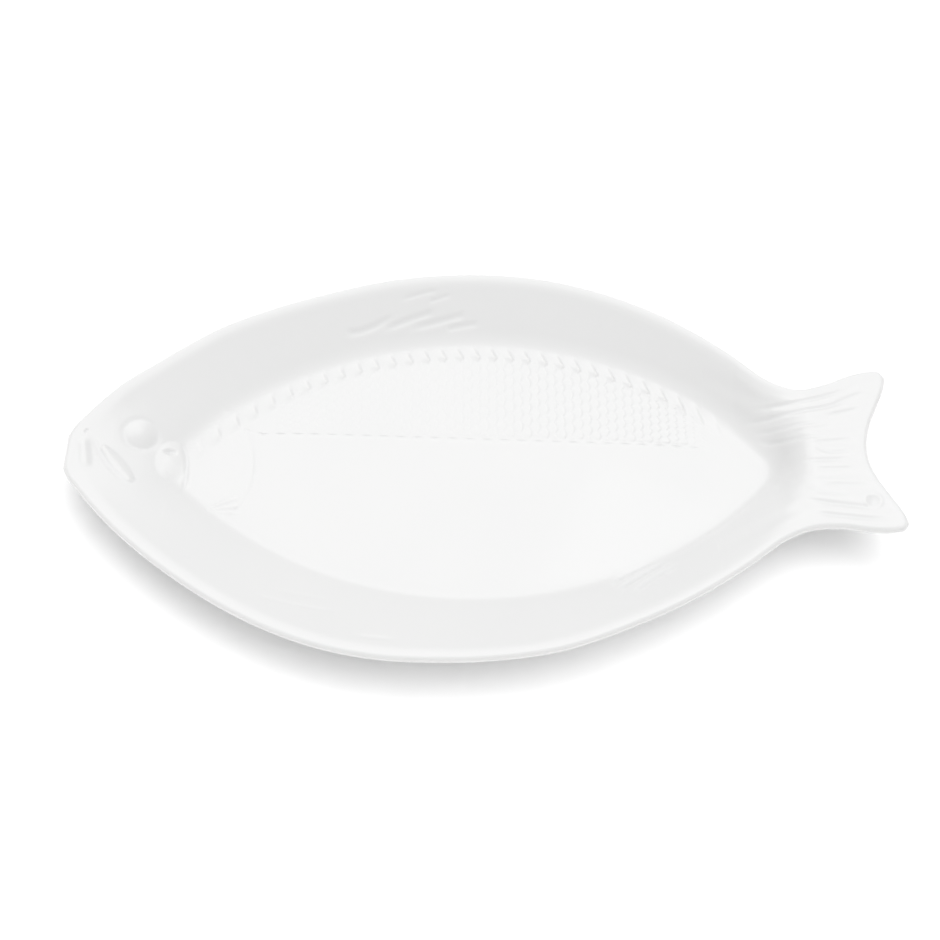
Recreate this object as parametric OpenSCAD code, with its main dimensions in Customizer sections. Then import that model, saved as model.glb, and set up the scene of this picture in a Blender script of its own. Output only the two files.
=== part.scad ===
// Fish shaped serving platter of white glazed porcelain, fired in one piece.
// The fish lies on its side, nose at -X, tail at +X, back at +Y and belly at -Y.
// The floor of the well, the head, the two walls, the root of the tail, the tail fin
// and the foot ring are regions of that one piece, cut apart on shared faces.

/* [Platter] */
// Length from the nose to the tips of the tail
platter_l = 400; // [340:1:460]
// Width over the rim at the widest place
platter_w = 222; // [200:1:250]
// Thickness of the rounded rim
rim_t = 4.4; // [3:0.1:6]
// How much the tips of the tail rise above the rim
tail_rise = 1.5; // [0:0.1:4]
// Depth of the notch in the trailing edge of the tail
tail_notch = 14; // [6:0.5:20]

/* [Well] */
// Depth of the well below the rim
well_d = 15.5; // [10:0.5:22]
// Thickness of the floor
floor_t = 5; // [4:0.1:8]
// Width of the sloping wall at the widest place
wall_w = 42; // [34:0.5:50]
// Length of the slope from the nose down to the floor
snout_l = 55; // [45:1:65]
// Length of the slope from the floor up to the tail
end_wall_l = 23; // [16:0.5:30]
// Radius of the two tips of the floor
tip_r = 10; // [8.5:0.5:14]
// Width of the hollow curve between floor and wall along the back
back_fillet_w = 14; // [4:0.5:20]
// Width of the hollow curve between floor and wall along the belly
belly_fillet_w = 5; // [2:0.5:20]
// Width of the soft shoulder under the rim
rim_shoulder_w = 8; // [2:0.5:12]
// Width of the soft shoulder where the end of the well meets the tail
tail_shoulder_w = 14; // [6:0.5:18]

/* [Foot ring] */
// Height of the foot ring
foot_h = 3.5; // [2:0.1:6]
// Width of the bare face that the platter stands on
foot_w = 4.5; // [3:0.1:6]
// Distance from the edge of the floor in to the foot ring
foot_inset = 2; // [1:0.1:3]

/* [Scales and lateral line] */
// Length of a scale, along the fish
scale_l = 8.6; // [6:0.1:14]
// Width of a scale, across the fish
scale_w = 8; // [6:0.1:14]
// Lift of the free edge of a scale
scale_lift = 0.7; // [0.3:0.05:1.5]
// How far the middle of a free edge runs past its ends
scale_bulge = 1.7; // [0.8:0.1:2.4]
// Width of the little step at a free edge
scale_step = 0.6; // [0.3:0.05:1]
// Distance from the middle of the fish up to the lateral line
lateral_y = 17; // [10:0.5:24]
// Fall of the lateral line towards the middle, from the gill to the tail
lateral_drop = 8.5; // [0:0.5:10]
// Half width of the groove of the lateral line
lateral_w = 1; // [0.6:0.1:2]
// Depth of the groove of the lateral line
lateral_d = 0.5; // [0.2:0.05:1]

/* [Head] */
// Diameter of the eye
eye_d = 15; // [10:0.5:20]
// Height of the eye
eye_h = 2.2; // [1:0.1:3]
// Height of the lips and the jaw plate
jaw_h = 1.6; // [0.5:0.1:2.5]
// Half width of the lips and the jaw plate
jaw_w = 4.5; // [3:0.1:6]
// Depth of the line of the mouth and of the cheek line
line_d = 1; // [0.3:0.1:1.5]
// Half width of the line of the mouth and of the cheek line
line_w = 2.6; // [1.5:0.1:4]
// Height of the cheek
cheek_h = 1.2; // [0.4:0.1:2]
// Radius of the free edge of the gill cover
gill_r = 40; // [30:1:44]
// Height of the free edge of the gill cover
gill_h = 1; // [0.4:0.1:2]
// Width of the band that rises towards the free edge of the gill cover
gill_band_w = 16; // [8:0.5:24]

/* [Fins] */
// Height of the rays of the fins on the walls
fin_h = 0.7; // [0.3:0.05:1.2]
// Distance between the rays of the fins on the walls
fin_pitch = 9; // [8:0.5:14]
// Number of rays in the tail
tail_rays = 10; // [6:1:12]
// Height of the rays of the tail
tail_ray_h = 0.9; // [0.3:0.05:1.5]
// Width of the smooth margin along the trailing edge
tail_margin = 7; // [4:0.5:12]
// Diameter of the small dimple in the lower lobe of the tail
dimple_d = 7; // [4:0.5:10]
// Depth of the dimple
dimple_h = 0.9; // [0.3:0.1:1.5]

/* [Hidden] */
porcelain = "white";
bare_clay = "antiquewhite";

// Outline of the fish: station along its length, then half widths on back and belly,
// the station as a share of the length and the others as shares of half the width
rim_shares = [
    [0, 0.085, 0.080], [0.004, 0.122, 0.112], [0.018, 0.200, 0.180], [0.054, 0.358, 0.330],
    [0.090, 0.467, 0.456], [0.127, 0.572, 0.567], [0.163, 0.666, 0.662],
    [0.236, 0.797, 0.821], [0.308, 0.891, 0.929], [0.380, 0.963, 0.986],
    [0.453, 0.997, 1.000], [0.510, 1.000, 0.993], [0.598, 0.957, 0.941],
    [0.670, 0.870, 0.842], [0.743, 0.731, 0.712], [0.815, 0.532, 0.542],
    [0.852, 0.405, 0.440], [0.888, 0.345, 0.382], [0.924, 0.370, 0.375],
    [0.960, 0.421, 0.395], [0.985, 0.436, 0.396], [0.996, 0.424, 0.384], [1, 0.400, 0.362]];
neck_share = 0.9025;
gill_cut_share = 0.23;

// Places on the fish: stations as shares of the length from the nose,
// distances from the middle as shares of half the width, towards the back
eye_shares = [0.084, 0.130];
lip_shares = [[0.022, -0.080], [0.022, 0.095]];
mouth_shares = [[0.030, 0.095], [0.080, -0.115]];
jaw_shares = [[0.055, 0.050], [0.083, -0.110]];
cheek_shares = [0.122, 0.028];
cheek_size_shares = [0.018, 0.100];
gill_middle_share = 0.120;
cheek_line_middle_share = 0.052;
cheek_line_share = 0.090;
cheek_line_reach_share = 0.125;
pectoral_shares = [0.196, -0.195];
pectoral_size_shares = [0.026, 0.055];
dorsal_shares = [0.430, 0.830];
dorsal_size_shares = [0.110, 0.100];
pelvic_shares = [0.300, -0.700];
pelvic_size_shares = [0.060, 0.080];
anal_shares = [0.690, -0.600];
anal_size_shares = [0.050, 0.090];
dimple_shares = [0.962, -0.248];

// Main places along the length
x_nose = -platter_l / 2;
x_tips = platter_l / 2;
x_floor_start = x_nose + snout_l;
x_neck = x_nose + neck_share * platter_l;
x_floor_end = x_neck - end_wall_l;
x_gill = x_nose + gill_cut_share * platter_l;
x_root = x_floor_end - 0.7 * tip_r;

// Heights
z_floor = foot_h + floor_t;
z_rim = z_floor + well_d;
rim_r = rim_t / 2;

// The floor is a lens of two arcs with rounded tips
floor_a = (x_floor_end - x_floor_start) / 2;
floor_b = platter_w / 2 - wall_w;
x_mid = (x_floor_start + x_floor_end) / 2;
arc_r = (pow(floor_a - tip_r, 2) + floor_b * floor_b - tip_r * tip_r) / (2 * (floor_b - tip_r));
arc_drop = arc_r - floor_b;
tip_x = floor_a - tip_r;

// Sampling
probe = platter_l / 2000;
head_columns = 22;
wall_columns = 36;
root_columns = 7;
fin_columns = 11;
body_rows = 22;
ring_turns = 96;
lip_steps = [0, rim_r / 8, rim_r / 2, rim_r, 2 * rim_r];

// Scale pattern, fitted between the gill cut and the root of the tail
scale_count = round(2 * (x_root - x_gill) / scale_l);
scale_e = (x_root - x_gill) / scale_count;
scale_rows = round(2 * (floor_b - lateral_y) / scale_w);
scale_columns = 2 * scale_count;

// Soft bump: 1 in the middle, 0 from a distance of 1 on
function bump(q) = abs(q) < 1 ? pow(1 - q * q, 2) : 0;
// Soft ramp from 0 at q = 0 to 1 at q = 1
function ramp(q) = let (c = min(max(q, 0), 1)) c * c * (3 - 2 * c);
// Two distances joined softly: near the smaller one
function joined(a, b) = a <= 0 || b <= 0 ? 0 : a * b / norm([a, b]);
// Distance from a point to a line between two points
function line_gap(p, a, b) =
    let (q = min(max((p - a) * (b - a) / ((b - a) * (b - a)), 0), 1)) norm(p - a - q * (b - a));
// A place given by its shares, as a point
function place(shares) = [x_nose + shares[0] * platter_l, shares[1] * platter_w / 2];
// Distance from a place, measured in the two half sizes of an oval
function oval(p, middle_shares, size_shares) =
    let (m = place(middle_shares))
    norm([(p[0] - m[0]) / (size_shares[0] * platter_l), (p[1] - m[1]) / (size_shares[1] * platter_w / 2)]);

// Smooth curve through the rows of a table: column k at the value v of column 0
function row_below(t, v) = max([for (i = [0 : len(t) - 2]) if (t[i][0] <= v) i]);
function chord(t, i, k) = (t[i + 1][k] - t[i][k]) / (t[i + 1][0] - t[i][0]);
function grade(t, i, k) =
    i == 0 ? chord(t, 0, k) :
    i == len(t) - 1 ? chord(t, i - 1, k) :
    let (a = t[i][0] - t[i - 1][0], b = t[i + 1][0] - t[i][0])
    (b * chord(t, i - 1, k) + a * chord(t, i, k)) / (a + b);
function curve(t, v, k) =
    let (i = row_below(t, v), w = t[i + 1][0] - t[i][0], q = (v - t[i][0]) / w)
    t[i][k] * (1 + 2 * q) * pow(1 - q, 2) + grade(t, i, k) * w * q * pow(1 - q, 2)
    + t[i + 1][k] * q * q * (3 - 2 * q) - grade(t, i + 1, k) * w * q * q * (1 - q);

// Half width of the outline at x, on the back (side 1) or the belly (side -1)
function half(x, side) =
    let (s = min(max((x - x_nose) / platter_l, 0), 1))
    curve(rim_shares, s, side > 0 ? 1 : 2) * platter_w / 2;
// Distance from a point to the outline beside it
function side_gap(x, y) =
    let (side = y < 0 ? -1 : 1, lean = (half(x + probe, side) - half(x - probe, side)) / (2 * probe))
    (half(x, side) - abs(y)) / norm([1, lean]);
// Trailing edge of the tail: a hollow curve between the two tips
function trail_x(y) = x_tips - tail_notch * (1 - pow(min(abs(y) / half(x_tips, y < 0 ? -1 : 1), 1), 1.8));
// Distance in from the edge of the platter, for the rounded lip
function edge_gap(x, y) =
    joined(joined(side_gap(x, y), x - x_nose), x > x_neck ? trail_x(y) - x : platter_l);

// Distance outside the lens of the floor, and half its width at x
function floor_gap(x, y) =
    let (dx = abs(x - x_mid), dy = abs(y))
    dy * tip_x < arc_drop * (dx - tip_x) || (dx - tip_x) * arc_drop > dy * tip_x
        ? norm([dx - tip_x, dy]) - tip_r
        : norm([dx, dy + arc_drop]) - arc_r;
function floor_half(x) =
    let (dx = abs(x - x_mid), tip_from = tip_x * arc_r / (arc_r - tip_r))
    dx > tip_from
        ? sqrt(max(tip_r * tip_r - pow(dx - tip_x, 2), 0))
        : sqrt(arc_r * arc_r - dx * dx) - arc_drop;

// Height of the wall as a share of the depth: hollow at its foot, straight, soft at its shoulder
function wall_share(u, hollow, shoulder) =
    let (k = 1 / (1 - hollow / 2 - shoulder / 2))
    u <= 0 ? 0 :
    u < hollow ? k * u * u / (2 * hollow) :
    u < 1 - shoulder ? k * (u - hollow / 2) : 1 - k * pow(1 - u, 2) / (2 * shoulder);
function body_z(x, y) =
    let (out = floor_gap(x, y),
         rest = joined(joined(side_gap(x, y), x - x_nose), x_neck - x),
         span = out + rest,
         side = (1 + y / norm([y, wall_w / 2])) / 2,
         hollow = min((belly_fillet_w + (back_fillet_w - belly_fillet_w) * side) / span, 0.5),
         shoulder = min((rim_shoulder_w + (tail_shoulder_w - rim_shoulder_w)
             * ramp((x - x_root) / end_wall_l)) / span, 0.5))
    out <= 0 ? z_floor : z_floor + well_d * wall_share(out / span, hollow, shoulder);
function smooth_z(x, y) =
    x < x_neck ? body_z(x, y) : z_rim + tail_rise * pow((x - x_neck) / (x_tips - x_neck), 2);

// How far the rounded lip falls below the crest, d in from the edge
function lip_fall(d) = rim_r - lip_bow(d);
function lip_bow(d) = let (c = rim_r - min(max(d, 0), rim_r)) sqrt(rim_r * rim_r - c * c);
// Thickness, from the rounded lip to the floor
function thickness(x, y, d) =
    let (inner = x < x_neck ? 1 - (smooth_z(x, y) - z_floor) / well_d : 0)
    d < rim_r ? 2 * lip_bow(d) : rim_t + (floor_t - rim_t) * inner;

// Relief of the head
function head_relief(x, y) =
    let (p = [x, y],
         lips = jaw_h * bump(line_gap(p, place(lip_shares[0]), place(lip_shares[1])) / jaw_w),
         jaw = jaw_h * bump(line_gap(p, place(jaw_shares[0]), place(jaw_shares[1])) / jaw_w),
         mouth = line_d * bump(line_gap(p, place(mouth_shares[0]), place(mouth_shares[1])) / line_w),
         eye = eye_h * bump(2 * norm(p - place(eye_shares)) / eye_d),
         cheek = cheek_h * bump(oval(p, cheek_shares, cheek_size_shares)),
         cheek_line_x = x_nose + cheek_line_middle_share * platter_l,
         from_cheek = norm([x - cheek_line_x, y]) - cheek_line_share * platter_l,
         cheek_line_reach = bump(2 * y / (cheek_line_reach_share * platter_w)),
         cheek_line = line_d * bump(from_cheek / line_w) * cheek_line_reach,
         from_gill = norm([x - x_nose - gill_middle_share * platter_l, y]) - gill_r,
         gill = from_gill > 0 ? 1 - ramp(from_gill / line_w) : ramp(1 + from_gill / gill_band_w))
    max(lips, jaw) - mouth + eye + cheek - cheek_line + (x > place(cheek_shares)[0] ? gill_h * gill : 0)
    * bump(y / gill_r);
// Rays that lean from the head side at the foot to the tail side at the tip
function rays(p, middle_shares, size_shares) =
    let (m = place(middle_shares), lean = (p[0] - m[0]) - (p[1] - m[1]) * sign(m[1]))
    fin_h * bump(oval(p, middle_shares, size_shares)) * (0.6 + 0.4 * cos(360 * lean / fin_pitch));
function fin_relief(x, y) =
    rays([x, y], dorsal_shares, dorsal_size_shares) + rays([x, y], pelvic_shares, pelvic_size_shares)
    + rays([x, y], anal_shares, anal_size_shares) + rays([x, y], pectoral_shares, pectoral_size_shares);
// Rays of the tail, spread between its two sides, from the end of the well to the smooth margin
function tail_relief(x, y) =
    let (t = y / half(x, y < 0 ? -1 : 1),
         along = ramp(floor_gap(x, y) / end_wall_l) * ramp((trail_x(y) - x) / tail_margin),
         across = ramp(4 * (1 - abs(t))),
         dimple = dimple_h * bump(2 * norm([x, y] - place(dimple_shares)) / dimple_d))
    -tail_ray_h * (0.5 - 0.5 * cos(180 * tail_rays * (t + 1))) * along * across - dimple;
function relief(x, y) =
    x > x_root ? tail_relief(x, y) : x < x_gill ? head_relief(x, y) + fin_relief(x, y) : fin_relief(x, y);

// A point of the upper face, and the point of the underside below it
function upper(x, y) =
    let (d = edge_gap(x, y)) [x, y, smooth_z(x, y) - lip_fall(d) + relief(x, y) * ramp(d / rim_t - 0.5)];
function lower(x, y) =
    let (d = edge_gap(x, y)) [x, y, smooth_z(x, y) - lip_fall(d) - thickness(x, y, d)];

// Rows across the whole fish at x: closer at the two lips
function across_rows(x) =
    let (back = half(x, 1), belly = half(x, -1), n = body_rows)
    concat([for (d = lip_steps) d - belly],
           [for (i = [1 : n - 1]) -belly + 2 * rim_r + (back + belly - 4 * rim_r) * i / n],
           [for (i = [len(lip_steps) - 1 : -1 : 0]) back - lip_steps[i]]);

// A solid between an upper and a lower grid of points, rows towards +Y and columns towards +X.
// lips says which sides are closed by a shared edge: first row, last row, first column, last column
module shell(top, bottom, lips) {
    rows = len(top);
    low_rows = len(bottom);
    columns = len(top[0]);
    function t(r, c) = r * columns + c;
    function b(r, c) =
        r == 0 && lips[0] ? t(0, c) :
        r == low_rows - 1 && lips[1] ? t(rows - 1, c) :
        c == 0 && lips[2] ? t(r, 0) :
        c == columns - 1 && lips[3] ? t(r, columns - 1) : rows * columns + r * columns + c;
    last = columns - 1;
    // A cell in a corner between two lips is cut from the corner, so no triangle lies flat on another
    function turned(r, c, count) = (r == count - 2 && c == 0) || (r == 0 && c == columns - 2);
    function cell(p, q, s, v, turn) = turn ? [[p, q, v], [q, s, v]] : [[p, q, s], [p, s, v]];
    upper_faces = [for (r = [0 : rows - 2], c = [0 : columns - 2])
        each cell(t(r, c), t(r + 1, c), t(r + 1, c + 1), t(r, c + 1), turned(r, c, rows))];
    lower_faces = [for (r = [0 : low_rows - 2], c = [0 : columns - 2])
        each cell(b(r, c), b(r, c + 1), b(r + 1, c + 1), b(r + 1, c), turned(r, c, low_rows))];
    first_row = lips[0] ? [] : [for (c = [0 : columns - 2]) [t(0, c), t(0, c + 1), b(0, c + 1), b(0, c)]];
    last_row = lips[1] ? [] : [for (c = [0 : columns - 2])
        [t(rows - 1, c + 1), t(rows - 1, c), b(low_rows - 1, c), b(low_rows - 1, c + 1)]];
    // The two ends are strips of triangles between the upper and the lower points
    function below(r, c) =
        len([for (k = [1 : low_rows - 1]) if (bottom[k - 1][c][1] + bottom[k][c][1] < 2 * top[r][c][1]) k]);
    function strip(c) = [for (r = [0 : rows - 2])
        let (k = below(r, c), next = below(r + 1, c))
        each concat([[t(r, c), t(r + 1, c), b(k, c)]],
                    k == next ? [] : [for (j = [k : next - 1]) [b(j, c), t(r + 1, c), b(j + 1, c)]])];
    function kept(faces) = [for (f = faces) if (f[0] != f[1] && f[1] != f[2] && f[2] != f[0]) f];
    first_column = lips[2] ? [] : [for (f = kept(strip(0))) [f[2], f[1], f[0]]];
    last_column = lips[3] ? [] : kept(strip(last));
    polyhedron(points = [for (row = concat(top, bottom)) each row],
               faces = concat(upper_faces, lower_faces, first_row, last_row, first_column, last_column));
}

// Scale pattern: the x of a column at a row of scales, and the lift of the surface there.
// Each free edge is a pair of columns, one on the edge and one just past it
function edge_number(c) = floor((c + 1) / 2);
function past_edge(c) = c > 0 && c % 2 == 0;
function is_crest(c, r) = (edge_number(c) + r) % 2 == 0;
function at_end(c) = c == 0 || c == scale_columns - 1;
function scale_x(c, r) =
    at_end(c) ? (c == 0 ? x_gill : x_root) :
    x_gill + edge_number(c) * scale_e + (is_crest(c, r) ? scale_bulge : 0) + (past_edge(c) ? scale_step : 0)
    - scale_bulge / 2;
function scale_rise(c, r) =
    at_end(c) ? 0 :
    scale_lift * ramp(c / 6) * ramp((scale_columns - 1 - c) / 6)
    * (past_edge(c) ? (is_crest(c, r) ? 2 * scale_bulge / (scale_e + scale_bulge) : 0) : 1);
// The lateral line falls towards the tail and bends in at the two tips
function lateral_at(x) =
    (lateral_y - lateral_drop * ((x - x_gill) / (x_root - x_gill) - 0.5))
    * (1 - pow(1 - floor_half(x) / floor_b, 4));
// Rows of the scaled half of the floor: three for the groove, the rest for the scales
function floor_point(c, i) =
    let (r = max(i - 2, 0), x = scale_x(c, r), start = lateral_at(x) + lateral_w,
         y = i < 3 ? start + (i - 2) * lateral_w : start + (floor_half(x) - start) * r / scale_rows,
         groove = i == 1 && !at_end(c) ? lateral_d : 0,
         rise = i < 3 ? 0 : scale_rise(c, r))
    [x, y, z_floor - groove + rise];
// Belly edge of the floor
function belly_x(i) = x_gill + (x_root - x_gill) * i / wall_columns;
function belly_edge(i) = [belly_x(i), -floor_half(belly_x(i)), z_floor];
function dropped(p) = [p[0], p[1], foot_h];

module well_floor() {
    grid = [for (i = [0 : scale_rows + 2]) [for (c = [0 : scale_columns - 1]) floor_point(c, i)]];
    rows = len(grid);
    n = scale_columns;
    m = wall_columns + 1;
    belly = [for (i = [0 : m - 1]) belly_edge(i)];
    points = concat([for (row = grid) each row], belly, [for (p = grid[rows - 1]) dropped(p)],
                    [for (p = belly) dropped(p)]);
    function g(r, c) = r * n + c;
    function q(i) = rows * n + i;
    function gd(c) = rows * n + m + c;
    function qd(i) = rows * n + m + n + i;
    scaled = [for (r = [0 : rows - 2], c = [0 : n - 2])
        each [[g(r, c), g(r + 1, c), g(r + 1, c + 1)], [g(r, c), g(r + 1, c + 1), g(r, c + 1)]]];
    near = [for (p = grid[0]) round((p[0] - x_gill) / (x_root - x_gill) * wall_columns)];
    near_back = [for (p = grid[rows - 1]) round((p[0] - x_gill) / (x_root - x_gill) * wall_columns)];
    plain = [for (c = [0 : n - 2])
        each concat([[q(near[c]), g(0, c), g(0, c + 1)]],
                    near[c] == near[c + 1] ? [] :
                    [for (j = [near[c] : near[c + 1] - 1]) [q(j), g(0, c + 1), q(j + 1)]])];
    under = [for (c = [0 : n - 2])
        each concat([[qd(near_back[c]), gd(c + 1), gd(c)]],
                    near_back[c] == near_back[c + 1] ? [] :
                    [for (j = [near_back[c] : near_back[c + 1] - 1]) [qd(j), qd(j + 1), gd(c + 1)]])];
    back = [for (c = [0 : n - 2]) [g(rows - 1, c + 1), g(rows - 1, c), gd(c), gd(c + 1)]];
    front = [for (i = [0 : m - 2]) [q(i), q(i + 1), qd(i + 1), qd(i)]];
    left = [concat([gd(0)], [for (r = [rows - 1 : -1 : 0]) g(r, 0)], [q(0), qd(0)])];
    right = [concat([qd(m - 1), q(m - 1)], [for (r = [0 : rows - 1]) g(r, n - 1)], [gd(n - 1)])];
    color(porcelain)
    polyhedron(points = points, faces = concat(scaled, plain, under, back, front, left, right));
}

// Distances from the floor out to the rim in a wall that is s wide there
function wall_steps(s) =
    concat([0, scale_w / 4, scale_w / 2], [for (q = [0.25, 0.4, 0.6, 0.8]) q * s],
           [for (i = [len(lip_steps) - 1 : -1 : 0]) s - lip_steps[i]]);
function low_steps(s) =
    concat([for (q = [0, 0.12, 0.3, 0.7]) q * s], [s - 2 * rim_r, s - rim_r, s - rim_r / 2, s]);

// The last row of scales laps onto the foot of the back wall as a row of teeth
function back_upper(c, i) =
    let (x = scale_x(c, i < 2 ? scale_rows : 0), base = floor_half(x),
         p = upper(x, base + wall_steps(half(x, 1) - base)[i]),
         lap = i == 0 ? 1 : i == 1 && is_crest(c, scale_rows) ? 0.6 : 0)
    p + [0, 0, lap * scale_rise(c, scale_rows)];
module back_wall() {
    top = [for (i = [0 : len(wall_steps(wall_w)) - 1]) [for (c = [0 : scale_columns - 1]) back_upper(c, i)]];
    bottom = [for (i = [0 : len(low_steps(wall_w)) - 1]) [for (c = [0 : scale_columns - 1])
        let (x = scale_x(c, i == 0 ? scale_rows : 0), base = floor_half(x))
        lower(x, base + low_steps(half(x, 1) - base)[i])]];
    color(porcelain) shell(top, bottom, [false, true, false, false]);
}

module belly_wall() {
    function at(i, steps, k) =
        let (x = belly_x(i), base = floor_half(x)) [x, -base - steps[len(steps) - 1 - k]];
    function span(i) = half(belly_x(i), -1) - floor_half(belly_x(i));
    top = [for (k = [0 : len(wall_steps(wall_w)) - 1]) [for (i = [0 : wall_columns])
        let (p = at(i, wall_steps(span(i)), k)) upper(p[0], p[1])]];
    bottom = [for (k = [0 : len(low_steps(wall_w)) - 1]) [for (i = [0 : wall_columns])
        let (p = at(i, low_steps(span(i)), k)) lower(p[0], p[1])]];
    color(porcelain) shell(top, bottom, [true, false, false, false]);
}

// The head runs from the nose to the gill cut, across the start of the well
module head() {
    first = len(lip_steps);
    xs = [for (c = [0 : first + head_columns - 1])
        c < first ? x_nose + lip_steps[c]
        : x_nose + 2 * rim_r + (x_gill - x_nose - 2 * rim_r) * (c - first + 1) / head_columns];
    ys = [for (x = xs) across_rows(x)];
    top = [for (r = [0 : len(ys[0]) - 1]) [for (c = [0 : len(xs) - 1]) upper(xs[c], ys[c][r])]];
    bottom = [for (r = [0 : len(ys[0]) - 1]) [for (c = [0 : len(xs) - 1]) lower(xs[c], ys[c][r])]];
    color(porcelain) shell(top, bottom, [true, true, true, false]);
}

// The root of the tail closes the end of the well and rises to the fin
module tail_root() {
    xs = [for (c = [0 : root_columns]) x_root + (x_neck - x_root) * c / root_columns];
    ys = [for (x = xs) across_rows(x)];
    n = len(ys[0]);
    some = [for (r = [0 : n - 1]) if (r < 5 || r > n - 6 || r % 3 == 0) r];
    top = [for (r = [0 : n - 1]) [for (c = [0 : root_columns]) upper(xs[c], ys[c][r])]];
    bottom = [for (r = some) [for (c = [0 : root_columns]) lower(xs[c], ys[c][r])]];
    color(porcelain) shell(top, bottom, [true, true, false, false]);
}

// The fin fans out from the neck to the hollow trailing edge
module tail_fin() {
    first = fin_columns + 1;
    reach = x_tips - x_neck;
    shares = [for (c = [0 : first + len(lip_steps) - 2])
        c < first ? (1 - 2 * rim_r / (reach - tail_notch)) * c / fin_columns
        : 1 - lip_steps[len(lip_steps) - 2 - (c - first)] / (reach - tail_notch)];
    n = len(across_rows(x_neck));
    function at(r, s) =
        let (x = x_neck + reach * s, y = across_rows(x)[r])
        [x_neck + (trail_x(y * half(x_tips, y < 0 ? -1 : 1) / half(x, y < 0 ? -1 : 1)) - x_neck) * s, y];
    top = [for (r = [0 : n - 1]) [for (s = shares) let (p = at(r, s)) upper(p[0], p[1])]];
    bottom = [for (r = [0 : n - 1]) [for (s = shares) let (p = at(r, s)) lower(p[0], p[1])]];
    color(porcelain) shell(top, bottom, [true, true, false, true]);
}

// The foot ring follows the lens of the floor, a little inside it
function lens(inset) =
    let (turn = atan2(arc_drop, tip_x), n = ring_turns / 4)
    concat([for (i = [-n / 2 : n / 2]) let (a = turn * 2 * i / n)
                [x_mid + tip_x + (tip_r - inset) * cos(a), (tip_r - inset) * sin(a)]],
           [for (i = [1 : n]) let (a = turn + (180 - 2 * turn) * i / n)
                [x_mid + (arc_r - inset) * cos(a), (arc_r - inset) * sin(a) - arc_drop]],
           [for (i = [-n / 2 + 1 : n / 2]) let (a = 180 + turn * 2 * i / n)
                [x_mid - tip_x + (tip_r - inset) * cos(a), (tip_r - inset) * sin(a)]],
           [for (i = [1 : n - 1]) let (a = 180 + turn + (180 - 2 * turn) * i / n)
                [x_mid + (arc_r - inset) * cos(a), (arc_r - inset) * sin(a) + arc_drop]]);
module foot_ring() {
    color(bare_clay) linear_extrude(height = foot_h) difference() {
        polygon(lens(foot_inset));
        polygon(lens(foot_inset + foot_w));
    }
}

well_floor();
head();
back_wall();
belly_wall();
tail_root();
tail_fin();
foot_ring();
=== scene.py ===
"""Fish shaped serving platter of white glazed porcelain in plain, soft studio light.

The platter lies flat with its nose at -X, its tail at +X, its back at +Y and its belly at -Y, and it
stands on z = 0 on a bare foot ring. All sizes are in metres. The glazed skin is one smooth height
surface over the outline of the fish. It is cut into the same named regions as the solids, and the
regions share their edges and their normals, so the glaze runs over them without a seam.
"""
import logging
import math
from dataclasses import dataclass, field
from enum import Enum

import bpy
import numpy as np
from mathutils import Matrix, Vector


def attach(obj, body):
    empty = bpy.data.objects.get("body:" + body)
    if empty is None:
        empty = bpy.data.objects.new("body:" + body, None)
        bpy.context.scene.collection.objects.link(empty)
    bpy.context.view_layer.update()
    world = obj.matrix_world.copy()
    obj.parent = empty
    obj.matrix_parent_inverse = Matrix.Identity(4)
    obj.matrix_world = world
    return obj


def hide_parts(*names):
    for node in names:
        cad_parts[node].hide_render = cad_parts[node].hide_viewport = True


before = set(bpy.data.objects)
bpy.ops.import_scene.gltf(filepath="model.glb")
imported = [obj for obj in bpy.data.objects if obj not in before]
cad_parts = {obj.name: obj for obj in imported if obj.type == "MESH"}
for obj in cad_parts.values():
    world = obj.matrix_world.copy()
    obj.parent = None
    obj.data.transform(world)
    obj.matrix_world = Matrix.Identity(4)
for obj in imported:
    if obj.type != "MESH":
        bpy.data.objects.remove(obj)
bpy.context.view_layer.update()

log = logging.getLogger("platter")
Array = np.ndarray
Node = bpy.types.Node
Socket = bpy.types.NodeSocket
Colour = tuple[float, float, float, float]
Pair = tuple[float, float]
Triple = tuple[float, float, float]


def bump(q: Array) -> Array:
    """Soft bump: (1 - q^2)^2 where |q| < 1, and 0 outside."""
    return np.where(np.abs(q) < 1.0, (1.0 - q * q) ** 2, 0.0)


def ramp(q: Array) -> Array:
    """Soft ramp: q^2 (3 - 2 q) with q held between 0 and 1."""
    c = np.clip(q, 0.0, 1.0)
    return c * c * (3.0 - 2.0 * c)


def fade(q: Array, start: float, run: float) -> Array:
    """Soft ramp of q from 0 at start to 1 one run later."""
    return ramp((q - start) / run)


def joined(a: Array, b: Array) -> Array:
    """Two distances joined softly: a b / sqrt(a^2 + b^2), or 0 where either isn't positive."""
    a, b = np.maximum(a, 0.0), np.maximum(b, 0.0)
    return a * b / np.maximum(np.hypot(a, b), 1e-12)


def along_line(x: Array, y: Array, a: Array, b: Array) -> tuple[Array, Array]:
    """Nearest place on a straight line: the point projected on it, held between its ends.

    Args:
        x, y: places along and across the fish.
        a, b: ends of the line.

    Returns:
        The share of the way from a to b, and the distance from the line, for each point.
    """
    step = b - a
    q = np.clip(((x - a[0]) * step[0] + (y - a[1]) * step[1]) / (step @ step), 0, 1)
    return q, np.hypot(x - a[0] - q * step[0], y - a[1] - q * step[1])


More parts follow.
